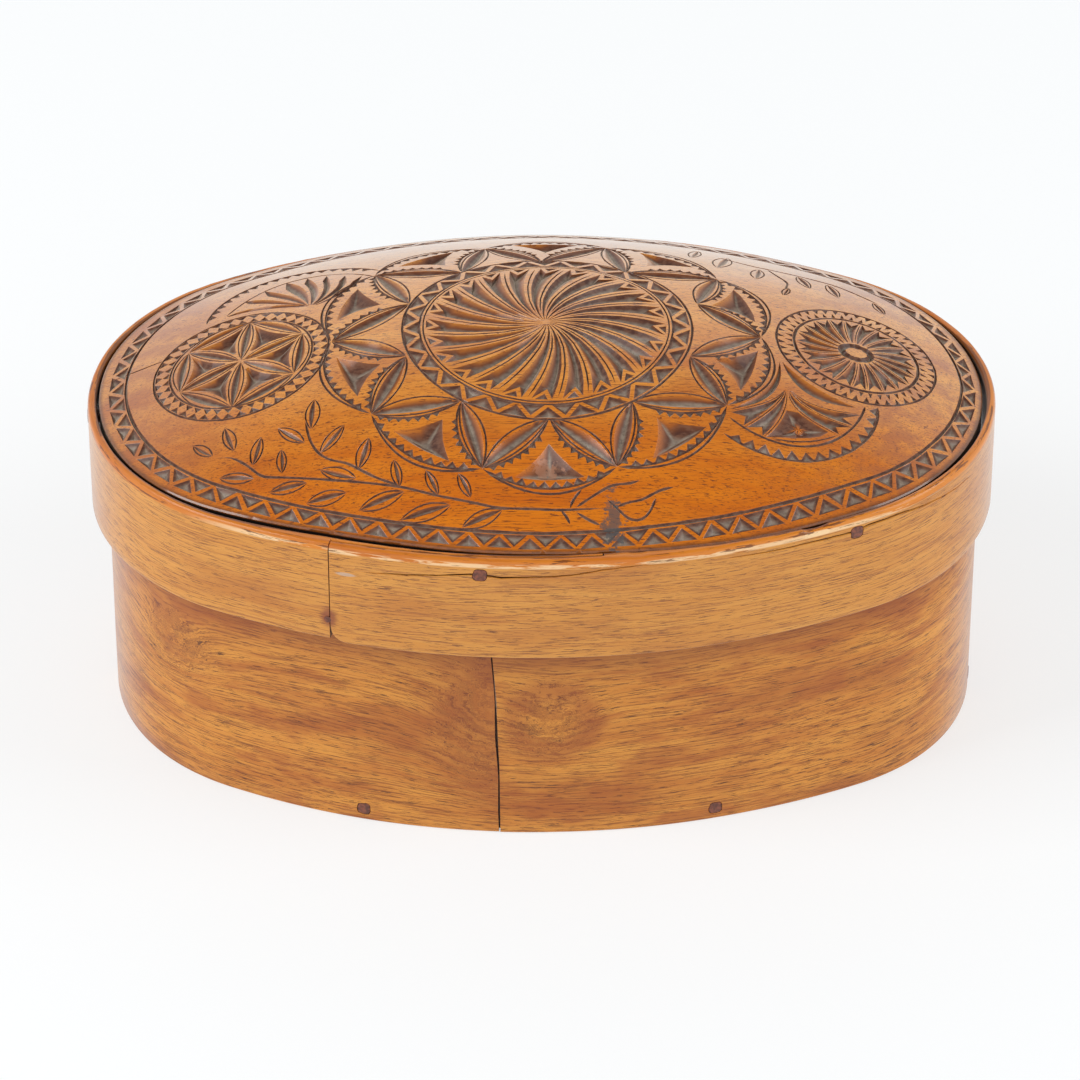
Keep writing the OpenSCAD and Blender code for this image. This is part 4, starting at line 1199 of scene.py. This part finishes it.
# Way round, height, depth and half width of the crack, place by place
crack = ((-64, 105.2, 0, 0.1), (-56.6, 105.5, 0.25, 0.14), (-47.3, 106.2, 0.9, 0.22),
         (-34.2, 107.3, 1.1, 0.2), (-24.5, 108.6, 1.2, 0.3), (-20.6, 108.4, 0.6, 0.3),
         (-14.8, 107.6, 1.3, 0.34), (-3.5, 108.2, 0.9, 0.2), (7.7, 108.6, 0.9, 0.2),
         (17.4, 110.2, 0.7, 0.2), (30.3, 111.2, 0.3, 0.16), (45, 110.2, 0, 0.1),
         (58, 109.6, 0, 0.1), (62.1, 109.6, 0.35, 0.14), (77.2, 109.3, 0.8, 0.22),
         (89.6, 109.3, 0.9, 0.25), (104.1, 109.0, 1.2, 0.3), (105.6, 109.2, 0.6, 0.3),
         (109.7, 110.0, 1.3, 0.34), (121.4, 110.2, 1.0, 0.3), (148.2, 107.2, 0.4, 0.16),
         (160, 106.5, 0, 0.1))
start, end = (front_way(x, 0) for x in (LID_OUTER_END, LID_INNER_END))
ways = lapped_stations(start, end, LID_STEP, LID_JOINT)
# The strip is thicker where its ends overlap
around = np.where(ways > oval.whole / 2, ways - oval.whole, ways)
wall = np.interp(around, (-112, -74, 24, 58), (LID_THIN, LID_WALL, LID_WALL, LID_THIN))
outer, inner, over, under = lapped_section(ways, start, end, 0.0, wall, LID_JOINT)
low = LID_LOW + 0.9 * np.clip((ways - oval.whole * 0.75) / 60, 0, 1)
rounded = np.clip(LID_CORNER - (ways - start), 0, LID_CORNER)
low = low + LID_CORNER - np.sqrt(LID_CORNER ** 2 - rounded ** 2)
backness = oval.spots(ways, 0.0)[0].imag / OVAL_HALF_WIDTH
high = (LID_TOP - 0.25 - 0.1 * backness + 0.2 * unevenness(ways / 30, 14.6, 0.5)
        - 0.15 * np.abs(unevenness(ways / 7, 36.5, 0.5)) - 1.4 * np.exp(-((ways - 280) / 50) ** 2))
run = (ways + 40) % oval.whole - 40
for chip_way, chip_half, chip_depth in ((90.5, 4.5, 0.8), (-56, 2.5, 0.35), (30, 3, 0.3)):
    high = high - chip_depth * np.clip(1 - np.abs(run - chip_way) / chip_half, 0, 1) ** 0.3
run = np.where(ways > CRACK_END, ways - oval.whole, ways)
crack_way, *crack_sizes = zip(*crack)
split, deep, half = (np.interp(run, crack_way, sizes) for sizes in crack_sizes)
split = split + 0.15 * unevenness(ways / 3, 58.4, 0.5)
half = 1.4 * half
rim_out = 1.1 - 0.5 * backness + 0.2 * unevenness(ways / 25, 29.2, 0.5)
rim_out = np.where(under, 0.3, np.minimum(rim_out, (high - split - 3 * half - 0.1) / RIM_STEEP))
rim = (rim_out, np.where(over, 0.3, 0.8), RIM_STEEP)
inset, level = strip_section(outer, inner, low, high, rim, 0.5,
                             (split, deep * (ways < CRACK_END), half))
way = ways[:, None] + 0 * level
inset = inset + flattened(ways, start, under, way, level, (45, 25), (0.14, 0.16, 0.35), 30.6)
lid_peg_sizes = (lid_peg_places, [0.0] * len(lid_peg_places), LID_WALL, LID_PEG_HEIGHT,
                 LID_PEG_HALF, LID_PEG_SEED)
lid_band = bent_strip("lid_strip", way, inset, level, peg_shapes(*lid_peg_sizes, PEG_SPARE))

gold = Finish("band_varnish")
here, run, rise, inward, last = along_grain(gold)
figure(gold, here, 60, 4.0)
# The rim is a glossier orange, painted pale along its outer edge: partly rubbed bare wood, partly
# a painted highlight
rim = rise.between(111.0 * MM, 112.0 * MM)
rubbed_and_lit = gold.noise(here, 16, 1.3, 4.0, 0.65)
where = gold.noise(here, 60, 30, 1.0).between(0.4, 0.6)
outer_edge = rise.between(110.9 * MM, 111.5 * MM) * (1 - rise.between(112.3 * MM, 112.9 * MM))
front = run.between(-127 * MM, -97 * MM) * (1 - run.between(100 * MM, 170 * MM))
bared_and_highlit = run.between(22 * MM, 40 * MM) * (1 - run.between(96 * MM, 120 * MM))
broken = 1 - ((run - 90.5 * MM) * (run - 90.5 * MM)).between(9 * MM * MM, 22 * MM * MM)
worn_and_highlit = rubbed_and_lit - 0.12 + 0.16 * where + 0.12 * bared_and_highlit
pale = (worn_and_highlit.between(0.42, 0.5) * front + broken * 0.7) * outer_edge * (
    1 - inward.between(1.2 * MM, 1.7 * MM))
# Darker brown along the rim's inner edge, and fine dark streaks on its top
lap_wide = run.between(-112 * MM, -74 * MM) * (1 - run.between(24 * MM, 58 * MM))
depth = inward - 2.75 * MM - 1.8 * MM * lap_wide
rim_darkening = (depth + 0.8 * MM * where).between(-0.5 * MM, 0.2 * MM) + rubbed_and_lit.between(0.56, 0.62)
# A brown stain round the lap's small peg, and a grey scratch at its upper corner
stain_run, stain_rise = run + 71.6 * MM, rise - 85 * MM
stained = 1 / (1 + stain_run * stain_run * 160000 + stain_rise * stain_rise * 90000)
scrape_run, scrape_rise = run + 65.5 * MM, rise - 103.4 * MM
scrape = 1 / (1 + scrape_run * scrape_run * 90000 + scrape_rise * scrape_rise * 1600000)
# Dark inside the joint, the crack and the line between the two layers; bare wood inside, but
# painted dark from the board's underside up, as painted shade in the gap beside the board
inside = depth.between(0.0, 0.3 * MM) * (1 - rise.between(111.8 * MM, 112.6 * MM))
in_joint = inward.between(0.42 * MM, 0.7 * MM) * (1 - inside) * (1 - rim)
layers = 1 - ((inward - 3.15 * MM) * (inward - 3.15 * MM)).between(0.08 * MM * MM, 0.25 * MM * MM)
lapped = (1 - last) * (1 - run.between(17 * MM, 21 * MM))
deep = in_joint + layers * lapped * rim + inside * rise.between(103 * MM, 105 * MM)
colour = gold.lay(
    woody(gold, (210, 146, 66), (200, 132, 54), (182, 112, 46), (158, 94, 46), (104, 58, 36)),
    (rim * 0.85, gold.mix(gold.streak.between(0.3, 0.7), (218, 130, 34), (188, 98, 22))),
    (pale * 0.85, (240, 204, 158)),
    (rim_darkening.between(0.1, 0.9) * rim * 0.8, (96, 50, 26)),
    (stained.between(0.25, 0.7) * 0.8, (132, 66, 42)),
    ((scrape + 0.5 * (rubbed_and_lit - 0.5)).between(0.45, 0.7) * 0.6, (186, 172, 160)),
    (inside * 0.85, gold.mix(gold.streak, (186, 142, 94), (158, 112, 70))),
    (deep.between(0.1, 0.9) * 0.92, (44, 25, 17)))
# The last two values: the pale painted sheen seen aslant, and where it begins
band_varnish = varnished(gold, colour, (0.36, 0.5 - 0.35 * pale, 0.16, 0.06), (194, 171, 160), 0.5)
lid_band.data.materials.append(band_varnish)
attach(lid_band, "lid")
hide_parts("lid_band")


# Lid pegs: six pegs through the lid band into the edge of the carved board, cut flush, and a
# small one in the lap, which is its CAD solid.
lid_pegs = joined("lid_peg_heads", peg_shapes(*lid_peg_sizes))
lid_pegs.data.materials.append(peg_wood)
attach(lid_pegs, "lid")
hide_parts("lid_pegs")
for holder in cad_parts["lid_lap_peg"].material_slots:
    holder.material = peg_wood
